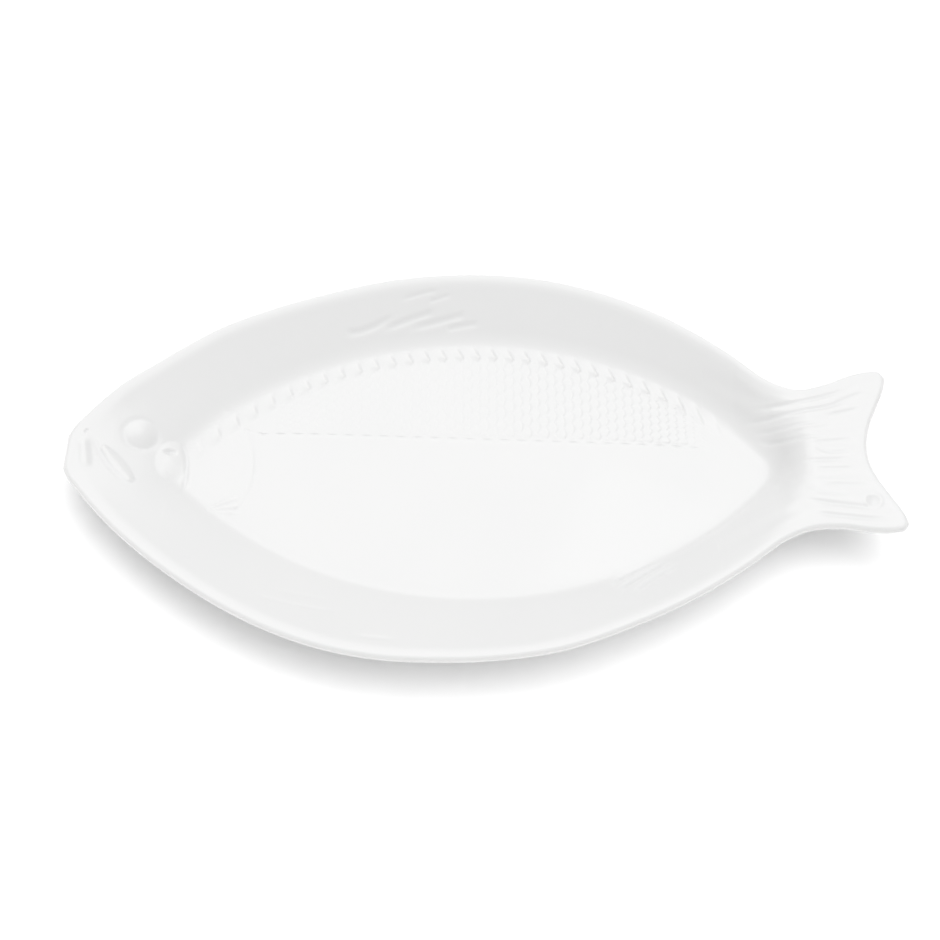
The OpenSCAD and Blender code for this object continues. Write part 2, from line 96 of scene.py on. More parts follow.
# Outline: station along the length, then half widths on the back and the belly,
# the station as a share of the length and the others as shares of half the width
RIM_SHARES = np.array([
    (0.0, 0.085, 0.080), (0.004, 0.122, 0.112), (0.018, 0.200, 0.180), (0.054, 0.358, 0.330),
    (0.090, 0.467, 0.456), (0.127, 0.572, 0.567), (0.163, 0.666, 0.662),
    (0.236, 0.797, 0.821), (0.308, 0.891, 0.929), (0.380, 0.963, 0.986),
    (0.453, 0.997, 1.000), (0.510, 1.000, 0.993), (0.598, 0.957, 0.941),
    (0.670, 0.870, 0.842), (0.743, 0.731, 0.712), (0.815, 0.532, 0.542),
    (0.852, 0.405, 0.440), (0.888, 0.345, 0.382), (0.924, 0.370, 0.375),
    (0.960, 0.421, 0.395), (0.985, 0.436, 0.396), (0.996, 0.424, 0.384), (1.0, 0.400, 0.362)])


@dataclass
class FishForm:
    """Sizes of the platter, the same as the solids', and the places and heights that follow."""

    length: float = 0.400
    width: float = 0.222
    rim_t: float = 0.0044
    tail_rise: float = 0.0015
    tail_notch: float = 0.014
    notch_power: float = 1.8
    well_d: float = 0.0155
    floor_t: float = 0.005
    wall_w: float = 0.042
    snout_l: float = 0.055
    end_wall_l: float = 0.023
    tip_r: float = 0.010
    back_fillet_w: float = 0.014
    belly_fillet_w: float = 0.005
    rim_shoulder_w: float = 0.008
    tail_shoulder_w: float = 0.014
    foot_h: float = 0.0035
    neck_share: float = 0.9025
    gill_share: float = 0.23
    middle_w: float = 0.007

    def __post_init__(self) -> None:
        """Works out the places along the fish, the heights, and the arcs that bound the floor."""
        self.x_nose, self.x_tips = -self.length / 2, self.length / 2
        self.x_neck = self.x_nose + self.neck_share * self.length
        self.x_gill = self.x_nose + self.gill_share * self.length
        self.x_floor_start = self.x_nose + self.snout_l
        self.x_floor_end = self.x_neck - self.end_wall_l
        self.x_root = self.x_floor_end - 0.7 * self.tip_r
        self.x_mid = (self.x_floor_start + self.x_floor_end) / 2
        self.z_floor = self.foot_h + self.floor_t
        self.z_rim = self.z_floor + self.well_d
        self.rim_r = self.rim_t / 2
        self.floor_b = self.width / 2 - self.wall_w
        self.tip_x = (self.x_floor_end - self.x_floor_start) / 2 - self.tip_r
        squares = self.tip_x ** 2 + self.floor_b ** 2 - self.tip_r ** 2
        self.arc_r = squares / (2 * (self.floor_b - self.tip_r))
        self.arc_drop = self.arc_r - self.floor_b

    def half(self, x: Array, back: Array) -> Array:
        """Half width of the outline at x: a smooth cubic through the rows of the table.

        Args:
            x: places along the fish.
            back: True on the side of the back, False on the side of the belly.

        Returns:
            The distance of the outline from the middle line.
        """
        s = np.clip((np.asarray(x) - self.x_nose) / self.length, 0.0, 1.0)
        t = RIM_SHARES[:, 0]
        i = np.clip(np.searchsorted(t, s, side="right") - 1, 0, len(t) - 2)
        w = np.diff(t)
        q = (s - t[i]) / w[i]
        found = []
        for k in (1, 2):
            v = RIM_SHARES[:, k]
            chord = np.diff(v) / w
            inner = (w[1:] * chord[:-1] + w[:-1] * chord[1:]) / (w[1:] + w[:-1])
            grade = np.concatenate([chord[:1], inner, chord[-1:]])
            found.append(v[i] * (1 + 2 * q) * (1 - q) ** 2 + grade[i] * w[i] * q * (1 - q) ** 2
                         + v[i + 1] * q * q * (3 - 2 * q) - grade[i + 1] * w[i] * q * q * (1 - q))
        return np.where(back, found[0], found[1]) * self.width / 2

    def side_gap(self, x: Array, y: Array) -> Array:
        """Distance to the outline beside a point: the gap across, times the cosine of the lean.

        Near the middle line the two sides blend, and |y| becomes a parabola that meets it smoothly.

        Args:
            x, y: places along and across the fish.

        Returns:
            The distance, negative outside the outline.
        """
        probe, w, away = self.length / 2000, self.middle_w, np.abs(y)
        away = np.where(away < w, (y * y + w * w) / (2 * w), away)
        side = ramp(0.5 + y / (2 * w))

        def gap(back: bool) -> Array:
            """Distance to the outline of one side."""
            lean = (self.half(x + probe, back) - self.half(x - probe, back)) / (2 * probe)
            return (self.half(x, back) - away) / np.sqrt(1 + lean * lean)

        return gap(False) * (1 - side) + gap(True) * side

    def trail_x(self, y: Array) -> Array:
        """Trailing edge of the tail: the tips, less a notch of (1 - t^2)^1.8, with t = 1 at a tip."""
        t = np.minimum(np.abs(y) / self.half(np.full_like(y, self.x_tips), y >= 0), 1.0)
        return self.x_tips - self.tail_notch * (1 - t * t) ** self.notch_power

    def edge_gap(self, x: Array, y: Array) -> Array:
        """Distance in from the edge of the platter: side, nose and trailing edge joined softly."""
        tail = np.where(x > self.x_neck, self.trail_x(y) - x, self.length)
        return joined(joined(self.side_gap(x, y), x - self.x_nose), tail)

    def floor_gap(self, x: Array, y: Array) -> Array:
        """Distance from the edge of the floor, a lens of two arcs closed by two round tips.

        Args:
            x, y: places along and across the fish.

        Returns:
            The distance, negative on the floor.
        """
        dx, dy = np.abs(x - self.x_mid), np.abs(y)
        past_tip = dx - self.tip_x
        near_tip = past_tip * self.arc_drop > dy * self.tip_x
        return np.where(near_tip, np.hypot(past_tip, dy) - self.tip_r,
                        np.hypot(dx, dy + self.arc_drop) - self.arc_r)

    def floor_half(self, x: Array) -> Array:
        """Half width of the floor: the height of the tip's circle, or of the long arc, at x.

        Args:
            x: places along the fish.

        Returns:
            The distance of the edge of the floor from the middle line.
        """
        dx = np.abs(x - self.x_mid)
        tip_from = self.tip_x * self.arc_r / (self.arc_r - self.tip_r)
        tip = np.sqrt(np.maximum(self.tip_r ** 2 - (dx - self.tip_x) ** 2, 0.0))
        arc = np.sqrt(np.maximum(self.arc_r ** 2 - dx * dx, 0.0)) - self.arc_drop
        return np.where(dx > tip_from, tip, arc)

    def body_z(self, x: Array, y: Array) -> Array:
        """Height of the well and its walls.

        u runs from 0 at the edge of the floor to 1 at the rim. The height is a parabola over the
        hollow at the foot, then a straight line, then a parabola over the shoulder.

        Args:
            x, y: places along and across the fish.

        Returns:
            The height above the table.
        """
        out = self.floor_gap(x, y)
        rest = joined(joined(self.side_gap(x, y), x - self.x_nose), self.x_neck - x)
        span = np.maximum(out + rest, 1e-9)
        side = (1 + y / np.hypot(y, self.wall_w / 2)) / 2
        fillet = self.belly_fillet_w + (self.back_fillet_w - self.belly_fillet_w) * side
        tailward = fade(x, self.x_root, self.end_wall_l)
        soft = self.rim_shoulder_w + (self.tail_shoulder_w - self.rim_shoulder_w) * tailward
        hollow, shoulder = np.minimum(fillet / span, 0.5), np.minimum(soft / span, 0.5)
        u, k = out / span, 1 / (1 - hollow / 2 - shoulder / 2)
        share = np.where(u < hollow, k * u * u / (2 * hollow),
                         np.where(u < 1 - shoulder, k * (u - hollow / 2),
                                  1 - k * (1 - u) ** 2 / (2 * shoulder)))
        return self.z_floor + self.well_d * np.where(out <= 0, 0.0, share)

    def smooth_z(self, x: Array, y: Array) -> Array:
        """Height without relief: the body, then the fin, which rises as the square of the way out."""
        fin = self.z_rim + self.tail_rise * ((x - self.x_neck) / (self.x_tips - self.x_neck)) ** 2
        return np.where(x < self.x_neck, self.body_z(np.minimum(x, self.x_neck), y), fin)

    def lip_bow(self, d: Array) -> Array:
        """Half thickness of the rounded lip at d in from the edge: a quarter circle."""
        c = self.rim_r - np.clip(d, 0.0, self.rim_r)
        return np.sqrt(np.maximum(self.rim_r ** 2 - c * c, 0.0))

    def thickness(self, x: Array, y: Array, d: Array) -> Array:
        """Thickness at d in from the edge: the lip's, then even from the rim's to the floor's."""
        inner = np.where(x < self.x_neck, 1 - (self.smooth_z(x, y) - self.z_floor) / self.well_d, 0.0)
        return np.where(d < self.rim_r, 2 * self.lip_bow(d),
                        self.rim_t + (self.floor_t - self.rim_t) * inner)


@dataclass(frozen=True)
class Stroke:
    """A modelled line through three places: a groove where rise is negative, or else a ridge."""

    path: Array
    half_w: float
    rise: float
    taper: float
    steps: int = 10

    def height(self, x: Array, y: Array) -> Array:
        """rise times a soft bump of the distance to a curve through three places.

        The curve is the parabola through the three places, walked in short straight steps. The bump
        fades over the share `taper` of the length at each end.

        Args:
            x, y: places along and across the fish.

        Returns:
            The change of height at each place.
        """
        a, b, c = self.path
        t = np.linspace(0.0, 1.0, self.steps + 1)[:, None]
        line = a * (1 - t) * (1 - 2 * t) + b * 4 * t * (1 - t) + c * t * (2 * t - 1)
        low, high = line.min(axis=0) - self.half_w, line.max(axis=0) + self.half_w
        near = (x > low[0]) & (x < high[0]) & (y > low[1]) & (y < high[1])
        best, at = np.full(near.sum(), np.inf), np.zeros(near.sum())
        for k in range(self.steps):
            q, gap = along_line(x[near], y[near], line[k], line[k + 1])
            at = np.where(gap < best, (k + q) / self.steps, at)
            best = np.minimum(gap, best)
        ends = ramp(at / self.taper + 0.15) * ramp((1 - at) / self.taper + 0.15)
        found = np.zeros_like(x)
        found[near] = self.rise * bump(best / self.half_w) * ends
        return found


def strokes(taper: float, *rows: tuple[float, ...]) -> tuple[Stroke, ...]:
    """Strokes from rows in millimetres: x and y of three places, the half width and the rise."""
    return tuple(Stroke(np.array(row[:6]).reshape(3, 2) / 1000, row[6] / 1000, row[7] / 1000, taper)
                 for row in rows)


def all_strokes(lines: tuple[Stroke, ...], x: Array, y: Array) -> Array:
    """The heights of some strokes added up."""
    return sum((line.height(x, y) for line in lines), np.zeros_like(x))


@dataclass(frozen=True)
class ScalePattern:
    """Rows of overlapping scales above the lateral line, and the teeth that they make at the wall.

    A start, an end or a fade says where a soft ramp begins and how long it is. A start is measured
    from the gill, or for the teeth from the tip of the floor, an end back from the root of the tail,
    and the fade, which calms the scales towards the head, from the middle of the platter.
    """

    form: FishForm
    scale_l: float = 0.0086
    scale_w: float = 0.008
    lift: float = 0.00045
    bulge: float = 0.0017
    step: float = 0.0005
    flank: float = 0.66
    sink: float = 0.68
    scale_end: Pair = (0.010, 0.032)
    calm_share: float = 0.30
    calm_fade: Pair = (-0.060, 0.10)
    lateral_y: float = 0.017
    lateral_drop: float = 0.0085
    lateral_w: float = 0.0010
    lateral_d: float = 0.0003
    lateral_start: Pair = (-0.014, 0.012)
    lateral_end: Pair = (0.010, 0.025)
    tooth_lift: float = 0.0012
    tooth_at: float = 0.0010
    tooth_reach: float = 0.0052
    tooth_phase: float = 0.35
    tooth_peak: float = 0.74
    tooth_start: Pair = (0.0, 0.012)
    tooth_end: Pair = (0.004, 0.03)

    @property
    def pitch(self) -> float:
        """Distance from one row of free edges to the next."""
        run = self.form.x_root - self.form.x_gill
        return run / round(2 * run / self.scale_l)

    @property
    def rows(self) -> int:
        """Number of half rows of scales from the lateral line to the back edge of the floor."""
        return round(2 * (self.form.floor_b - self.lateral_y) / self.scale_w)

    def lateral_at(self, x: Array) -> Array:
        """The lateral line: falls evenly towards the tail and bends in at the tip of the floor.

        In front of the gill it rises by a third of the way towards the nose.

        Args:
            x: places along the fish.

        Returns:
            The place of the line across the fish.
        """
        f = self.form
        held = np.maximum(x, f.x_gill)
        along = (held - f.x_gill) / (f.x_root - f.x_gill) - 0.5
        inner = 1 - (1 - f.floor_half(held) / f.floor_b) ** 4
        return (self.lateral_y - self.lateral_drop * along) * inner + np.maximum(f.x_gill - x, 0.0) / 3

    def crest(self, k: Array, r: Array) -> Array:
        """How far free edge k bulges on row r: 1 - q^2, with q the distance from the crest."""
        m = np.mod(r - k, 2.0)
        return 1.0 - np.minimum(m, 2.0 - m) ** 2

    def edge_x(self, k: Array, r: Array) -> Array:
        """Place of free edge k on row r: an even pitch and the bulge of its arc."""
        return self.form.x_gill + k * self.pitch + self.bulge * (self.crest(k, r) - 0.5)

    def plates(self, x: Array, r: Array) -> Array:
        """Height of the scales as a share of the lift.

        Between two free edges a scale rises evenly towards its own edge, and it is arched across.
        Past the edge the surface falls within one step to the next scale.

        Args:
            x: places along the fish.
            r: row numbers, whole at the middles of the scales.

        Returns:
            A share between 0 and 1.
        """
        k = np.floor((x - self.form.x_gill) / self.pitch + 0.5) - 1.0
        for _ in range(2):
            k = np.where(x > self.edge_x(k, r), k + 1.0, k)
        own, last = self.edge_x(k, r), self.edge_x(k - 1.0, r)
        back_share = (own - x) / np.maximum(own - last, 1e-9)
        arch, last_arch = (self.flank + (1 - self.flank) * self.crest(n, r) for n in (k, k - 1.0))
        rise = (1.0 - self.sink * back_share) * arch
        return last_arch + (rise - last_arch) * fade(x, last, self.step)

    def height(self, x: Array, y: Array) -> Array:
        """Scales on the floor, teeth at the foot of the back wall, and the dotted lateral line.

        The rows of scales are counted from the lateral line, evenly up to the edge of the floor.

        Args:
            x, y: places along and across the fish.

        Returns:
            The change of height at each place.
        """
        f = self.form
        base, start = f.floor_half(x), self.lateral_at(x) + self.lateral_w
        on_floor = (y - start) / np.maximum(base - start, 1e-4) * self.rows
        r = np.where(y < base, on_floor, self.rows + (y - base) / (self.scale_w / 2))
        ends = ramp((x - f.x_gill) / (3 * self.pitch)) * fade(f.x_root - x, *self.scale_end)
        calm = self.calm_share + (1 - self.calm_share) * fade(x, *self.calm_fade)
        shown = ends * calm * ramp(r / 0.8) * (1 - fade(r, self.rows - 0.3, 0.9))
        scaled = np.where((x > f.x_gill) & (x < f.x_root) & (r > 0), self.lift * self.plates(x, r), 0.0)
        return scaled * shown + self.teeth(x, y) + self.lateral(x, y)

    def teeth(self, x: Array, y: Array) -> Array:
        """Teeth along the back edge of the floor: a saw of two pitches, fading on floor and wall.

        Args:
            x, y: places along and across the fish.

        Returns:
            The change of height at each place.
        """
        f = self.form
        out = np.where(y > 0, f.floor_gap(x, y), -1.0)
        saw = np.mod((x - f.x_gill) / (2 * self.pitch) + self.tooth_phase + out / (5 * self.pitch), 1.0)
        shape = saw * (1 - fade(saw, self.tooth_peak, 1 - self.tooth_peak))
        reach = bump((out - self.tooth_at) / self.tooth_reach)
        ends = fade(x - f.x_floor_start, *self.tooth_start) * fade(f.x_root - x, *self.tooth_end)
        return self.tooth_lift * shape * reach * ends

    def lateral(self, x: Array, y: Array) -> Array:
        """The lateral line: a fine groove whose depth follows a cosine, once in each scale.

        Args:
            x, y: places along and across the fish.

        Returns:
            The change of height at each place.
        """
        f = self.form
        beat = 0.55 + 0.45 * np.cos(np.pi * (x - f.x_gill) / self.pitch)
        ends = fade(x - f.x_gill, *self.lateral_start) * fade(f.x_root - x, *self.lateral_end)
        return -self.lateral_d * bump((y - self.lateral_at(x)) / self.lateral_w) * beat * ends


@dataclass(frozen=True)
class HeadRelief:
    """Eye, nostril, lips, mouth, jaw plate, cheek, gill cover and breast fin, with fin_turn in degrees."""

    eye_at: Pair = (-0.1665, 0.0146)
    eye_r: float = 0.0078
    eye_h: float = 0.0012
    eye_ring_d: float = 0.00018
    cheek_at: Pair = (-0.1512, 0.0031)
    cheek_size: Pair = (0.0078, 0.0115)
    cheek_h: float = 0.0014
    pit_at: Pair = (-0.1522, 0.0078)
    pit_size: Pair = (0.0042, 0.0024)
    pit_d: float = 0.0009
    jaw_from: Pair = (-0.1822, 0.0036)
    jaw_to: Pair = (-0.1688, -0.0118)
    jaw_h: float = 0.0008
    jaw_w: float = 0.0034
    jaw_groove_w: float = 0.0012
    gill_middle: float = -0.152
    gill_r: float = 0.040
    gill_h: float = 0.0005
    gill_band_w: float = 0.022
    gill_step_w: float = 0.0022
    fin_base: Pair = (-0.1345, -0.0245)
    fin_reach: float = 0.0195
    fin_h: float = 0.0003
    fin_turn: Pair = (-7.0, 35.0)
    fin_rays: int = 24
    lines: tuple[Stroke, ...] = strokes(
        0.3,
        (-193.0, 8.8, -190.8, 0.1, -189.2, -9.2, 3.6, 0.8),
        (-189.0, 12.0, -182.5, -1.0, -172.0, -13.5, 2.0, -0.15),
        (-192.2, 10.7, -191.5, 12.1, -190.8, 13.3, 1.3, -0.5),
        (-147.8, 15.0, -143.7, 0.0, -145.0, -16.5, 1.8, -0.4))

    def height(self, x: Array, y: Array) -> Array:
        """All the forms of the head added up, with the jaw plate and the gill cover as low plates."""
        return (all_strokes(self.lines, x, y) + self.eye(x, y) + self.cheek(x, y) + self.jaw(x, y)
                + self.gill(x, y) + self.breast_fin(x, y))

    def eye(self, x: Array, y: Array) -> Array:
        """Eye: a soft dome with a faint hollow round its foot."""
        q = np.hypot(x - self.eye_at[0], y - self.eye_at[1]) / self.eye_r
        return self.eye_h * bump(q) ** 0.8 - self.eye_ring_d * bump((q - 1) / 0.35)

    def cheek(self, x: Array, y: Array) -> Array:
        """Cheek: an oval dome with a small oval hollow near its top."""
        dome, pit = (np.hypot((x - at[0]) / size[0], (y - at[1]) / size[1])
                     for at, size in ((self.cheek_at, self.cheek_size), (self.pit_at, self.pit_size)))
        return self.cheek_h * bump(dome) ** 0.75 - self.pit_d * bump(pit)

    def jaw(self, x: Array, y: Array) -> Array:
        """Jaw plate: a soft leaf, widest past its middle, with a fine groove on its lower side.

        Its half width follows part of a sine along the way from one end to the other.

        Args:
            x, y: places along and across the fish.

        Returns:
            The change of height at each place.
        """
        a, b = np.array(self.jaw_from), np.array(self.jaw_to)
        q, gap = along_line(x, y, a, b)
        half_w = self.jaw_w * (0.30 + 0.70 * np.sin(np.pi * np.clip(0.12 + 0.72 * q, 0, 1)))
        step = (b - a) / np.hypot(*(b - a))
        beside = (x - a[0]) * step[1] - (y - a[1]) * step[0]
        groove = bump((beside - 0.9 * half_w) / self.jaw_groove_w) * ramp(q / 0.2) * ramp((1 - q) / 0.2)
        return self.jaw_h * (bump(gap / (1.35 * half_w)) - 0.10 * groove)

    def gill(self, x: Array, y: Array) -> Array:
        """Gill cover: rises over a band to its free edge on a circle, then falls off within a step.

        Args:
            x, y: places along and across the fish.

        Returns:
            The change of height at each place.
        """
        over = np.hypot(x - self.gill_middle, y) - self.gill_r
        rise = np.where(over > 0, 1 - ramp(over / self.gill_step_w), ramp(1 + over / self.gill_band_w))
        return np.where(x > self.cheek_at[0], self.gill_h * rise * bump(y / self.gill_r), 0.0)

    def breast_fin(self, x: Array, y: Array) -> Array:
        """Breast fin: a low fan, with rays as a cosine of the angle round its base.

        Args:
            x, y: places along and across the fish.

        Returns:
            The change of height at each place.
        """
        dx, dy = x - self.fin_base[0], y - self.fin_base[1]
        away, turn = np.hypot(dx, dy), np.degrees(np.arctan2(dy, dx))
        fan = fade(away, 0.002, 0.004) * ramp((self.fin_reach - away) / 0.003)
        side = ramp((self.fin_turn[1] - turn) / 5) * fade(turn, self.fin_turn[0], 5)
        rays = 0.45 + 0.55 * np.cos(np.radians(turn + 5) * self.fin_rays)
        return self.fin_h * fan * side * rays


@dataclass(frozen=True)
class WallFins:
    """Back fin, belly fin and rear fin, pressed into the sloping walls."""

    back_fin: tuple[Stroke, ...] = strokes(
        0.25,
        (-69.5, 78.6, -57.8, 81.5, -44.1, 89.5, 2.6, -0.45),
        (-50.7, 81.5, -35.3, 87.6, -23.0, 91.8, 2.6, -0.45),
        (-37.4, 82.8, -18.3, 87.7, -7.5, 90.7, 2.6, -0.45),
        (-18.3, 83.4, -9.6, 85.0, -0.3, 86.4, 2.4, -0.4),
        (-41.6, 96.3, -31.3, 99.6, -22.0, 101.8, 1.8, -0.3),
        (-27.2, 95.9, -21.0, 98.0, -14.8, 100.0, 1.8, -0.3))
    belly_fin: tuple[Stroke, ...] = strokes(
        0.25,
        (-103.2, -76.3, -87.6, -80.2, -61.1, -83.7, 1.4, -0.2),
        (-56.1, -97.9, -47.1, -98.8, -38.1, -99.7, 1.8, -0.3),
        (-96.0, -72.0, -83.0, -74.2, -69.0, -76.0, 1.4, -0.15))
    rear_fin: tuple[Stroke, ...] = strokes(
        0.25,
        (63.8, -70.0, 74.1, -61.4, 88.8, -52.3, 2.0, -0.5),
        (60.0, -65.5, 69.0, -59.0, 80.0, -53.0, 2.0, -0.4),
        (70.0, -73.0, 80.0, -64.0, 93.0, -56.0, 2.0, -0.4))

    def height(self, x: Array, y: Array) -> Array:
        """The strokes of the three fins added up."""
        return all_strokes(self.back_fin + self.belly_fin + self.rear_fin, x, y)


@dataclass(frozen=True)
class TailRelief:
    """Rays of the tail, its smooth trailing margin, and a dimple with a rim of a height and a half width."""

    form: FishForm
    rays: int = 10
    ray_h: float = 0.0002
    margin: float = 0.007
    line_margin: float = 0.005
    starts_before: float = 0.02
    dimple_at: Pair = (0.1847, -0.0275)
    dimple_r: float = 0.0038
    dimple_d: float = 0.0006
    dimple_rim: Pair = (0.0002, 0.0015)
    grooves: tuple[Stroke, ...] = strokes(
        0.35,
        (134.0, 30.4, 157.2, 30.2, 187.0, 40.0, 1.98, -0.48),
        (130.0, 25.2, 156.6, 24.6, 183.0, 31.4, 2.01, -0.51),
        (172.0, 28.2, 180.4, 32.0, 189.6, 35.4, 1.74, -0.24),
        (135.0, 19.6, 150.0, 17.4, 169.0, 18.2, 1.83, -0.33),
        (150.7, 13.9, 160.0, 14.3, 176.0, 16.8, 1.74, -0.24),
        (168.0, 21.8, 177.0, 23.6, 186.5, 26.2, 1.77, -0.27),
        (136.0, 15.3, 152.0, 10.2, 168.0, 9.8, 1.83, -0.33),
        (158.0, 6.4, 170.0, 6.8, 181.0, 8.2, 1.71, -0.21),
        (161.0, 3.4, 169.2, 0.4, 180.0, 1.9, 1.80, -0.30),
        (154.0, -3.6, 164.0, -4.2, 178.0, -3.4, 1.71, -0.21),
        (158.0, -9.0, 170.0, -9.2, 182.0, -8.2, 1.77, -0.27),
        (156.0, -13.6, 168.0, -14.0, 180.0, -13.2, 1.71, -0.21),
        (163.0, -17.6, 174.0, -18.2, 186.5, -18.4, 1.80, -0.30),
        (154.0, -20.6, 165.0, -22.8, 178.0, -23.6, 1.74, -0.24),
        (152.6, -25.6, 167.0, -28.8, 191.0, -32.0, 1.89, -0.39),
        (153.5, -32.8, 171.2, -36.0, 194.0, -38.6, 1.95, -0.45))

    def height(self, x: Array, y: Array) -> Array:
        """Soft rays as a cosine across the width, sharper grooves, and the dimple with a low rim.

        Args:
            x, y: places along and across the fish.

        Returns:
            The change of height at each place.
        """
        f = self.form
        t = y / f.half(x, y >= 0)
        edge = f.trail_x(y) - x
        shown = ramp(f.floor_gap(x, y) / f.end_wall_l) * ramp(edge / self.margin) * ramp(4 * (1 - np.abs(t)))
        soft = -self.ray_h * (0.5 - 0.5 * np.cos(np.pi * self.rays * (t + 1))) * shown
        lines = all_strokes(self.grooves, x, y) * ramp(edge / self.line_margin)
        gap = np.hypot(x - self.dimple_at[0], y - self.dimple_at[1])
        rim = self.dimple_rim[0] * bump((gap - self.dimple_r) / self.dimple_rim[1])
        dimple = rim - self.dimple_d * bump(gap / self.dimple_r)
        return np.where(x > f.x_root - self.starts_before, soft + lines + dimple, 0.0)


@dataclass(frozen=True)
class Relief:
    """All relief of the upper face."""

    scales: ScalePattern
    head: HeadRelief
    fins: WallFins
    tail: TailRelief

    def height(self, x: Array, y: Array) -> Array:
        """Sum of the four reliefs, each of them zero outside its own part of the fish."""
        return sum(part.height(x, y) for part in (self.scales, self.head, self.fins, self.tail))


@dataclass
class GlazedSkin:
    """The whole glazed surface as one grid of columns along the fish and rows across it."""

    form: FishForm
    relief: Relief
    lip_rows: int = 12
    belly_rows: int = 38
    plain_rows: int = 66
    scaled_rows: int = 118
    back_rows: int = 62
    lip_columns: int = 12
    head_columns: int = 156
    middle_columns: int = 440
    root_columns: int = 56
    fin_columns: int = 64
    fin_lip_share: float = 0.16
    low_step: int = 4
    pool_reach: float = 0.0011
    pool_full: float = 0.00025
    rim_thin: float = 0.8

    def __post_init__(self) -> None:
        """Works out the marks of the cuts, both faces, their normals and where the glaze pools."""
        rows = (0, self.lip_rows + self.belly_rows, self.plain_rows + self.scaled_rows,
                self.back_rows + self.lip_rows)
        columns = (0, self.lip_columns + self.head_columns, self.middle_columns, self.root_columns,
                   self.fin_columns + self.lip_columns)
        self.row_marks, self.column_marks = np.cumsum(rows), np.cumsum(columns)
        x, y = self.places()
        f = self.form
        d = f.edge_gap(x, y)
        base = f.smooth_z(x, y) - (f.rim_r - f.lip_bow(d))
        lifted = self.relief.height(x, y) * ramp(d / f.rim_t - 0.5)
        self.top = np.stack([x, y, base + lifted], axis=-1)
        self.low = np.stack([x, y, base - f.thickness(x, y, d)], axis=-1)
        self.top_normals = self.normals(self.top, self.low)
        self.low_normals = -self.normals(self.low, self.top)
        self.pool = self.pooling(x, y, d)

    def stations(self) -> Array:
        """Columns from nose to tips, close together over the rounded lips at both ends.

        Over a lip the distance from the edge is 1 - cos of an even angle, times twice its radius.

        Returns:
            Places along the fish, one for each column.
        """
        f = self.form
        turn = np.linspace(0.0, np.pi / 2, self.lip_columns + 1)
        found = [f.x_nose + 2 * f.rim_r * (1 - np.cos(turn))]
        for end, count in ((f.x_gill, self.head_columns), (f.x_root, self.middle_columns),
                           (f.x_neck, self.root_columns)):
            found.append(np.linspace(found[-1][-1], end, count + 1)[1:])
        before = np.linspace(0.0, 1 - self.fin_lip_share, self.fin_columns + 1)[1:]
        last = 1 - self.fin_lip_share * (1 - np.sin(turn))[1:]
        found.append(f.x_neck + (f.x_tips - f.x_neck) * np.concatenate([before, last]))
        return np.concatenate(found)

    def places(self) -> tuple[Array, Array]:
        """Places of the grid in plan.

        Rows run from the belly rim to the back rim through four lines: the belly edge of the floor,
        the lateral line, the back edge of the floor and the rim. In the head and the tail these lines
        keep the share of the width that they have where the floor's region ends. In the fin the
        columns bend with the trailing edge.

        Returns:
            x and y of each point, columns first.
        """
        f, x = self.form, self.stations()
        xc = np.clip(x, f.x_gill, f.x_root)
        belly, back = f.half(x, False), f.half(x, True)
        belly_share, back_share = belly / f.half(xc, False), back / f.half(xc, True)
        y_belly, y_back = -f.floor_half(xc) * belly_share, f.floor_half(xc) * back_share
        middle_line = self.relief.scales.lateral_at(xc) * back_share
        lip = 2 * f.rim_r * (1 - np.cos(np.linspace(0.0, np.pi / 2, self.lip_rows + 1)))
        first, last = -belly[:, None] + lip[None, :], back[:, None] - lip[None, ::-1]

        def spread(a: Array, b: Array, count: int) -> Array:
            """Rows spaced evenly after a up to b."""
            return a[:, None] + (b - a)[:, None] * np.linspace(0.0, 1.0, count + 1)[None, 1:]

        y = np.concatenate([
            first, spread(first[:, -1], y_belly, self.belly_rows),
            spread(y_belly, middle_line, self.plain_rows), spread(middle_line, y_back, self.scaled_rows),
            spread(y_back, last[:, 0], self.back_rows), last[:, 1:]], axis=1)
        share = np.clip((x - f.x_neck) / (f.x_tips - f.x_neck), 0.0, 1.0)[:, None]
        out = np.where(y >= 0, back[:, None], belly[:, None])
        tip_half = f.half(np.full_like(y, f.x_tips), y >= 0)
        bent = f.x_neck + (f.trail_x(y * tip_half / out) - f.x_neck) * share
        return np.where(x[:, None] > f.x_neck, bent, x[:, None]), y

    @staticmethod
    def normals(face: Array, other: Array) -> Array:
        """Normals of a face: the cross product of the steps to the next points on the two sides.

        Past the edge of the platter the next point lies on the other face, so the rounded lip keeps
        smooth normals. At the four corners of the grid the normals of two neighbours are mixed.

        Args:
            face: points of the face.
            other: points of the opposite face.

        Returns:
            One unit normal for each point.
        """
        along, across = np.empty_like(face), np.empty_like(face)
        along[1:-1] = face[2:] - face[:-2]
        along[0], along[-1] = face[1] - other[1], other[-2] - face[-2]
        across[:, 1:-1] = face[:, 2:] - face[:, :-2]
        across[:, 0], across[:, -1] = face[:, 1] - other[:, 1], other[:, -2] - face[:, -2]
        found = np.cross(along, across)
        found /= np.maximum(np.linalg.norm(found, axis=-1, keepdims=True), 1e-15)
        for i, near in ((0, 1), (-1, -2)):
            for j, beside in ((0, 1), (-1, -2)):
                mixed = found[near, j] + found[i, beside]
                found[i, j] = mixed / np.linalg.norm(mixed)
        return found

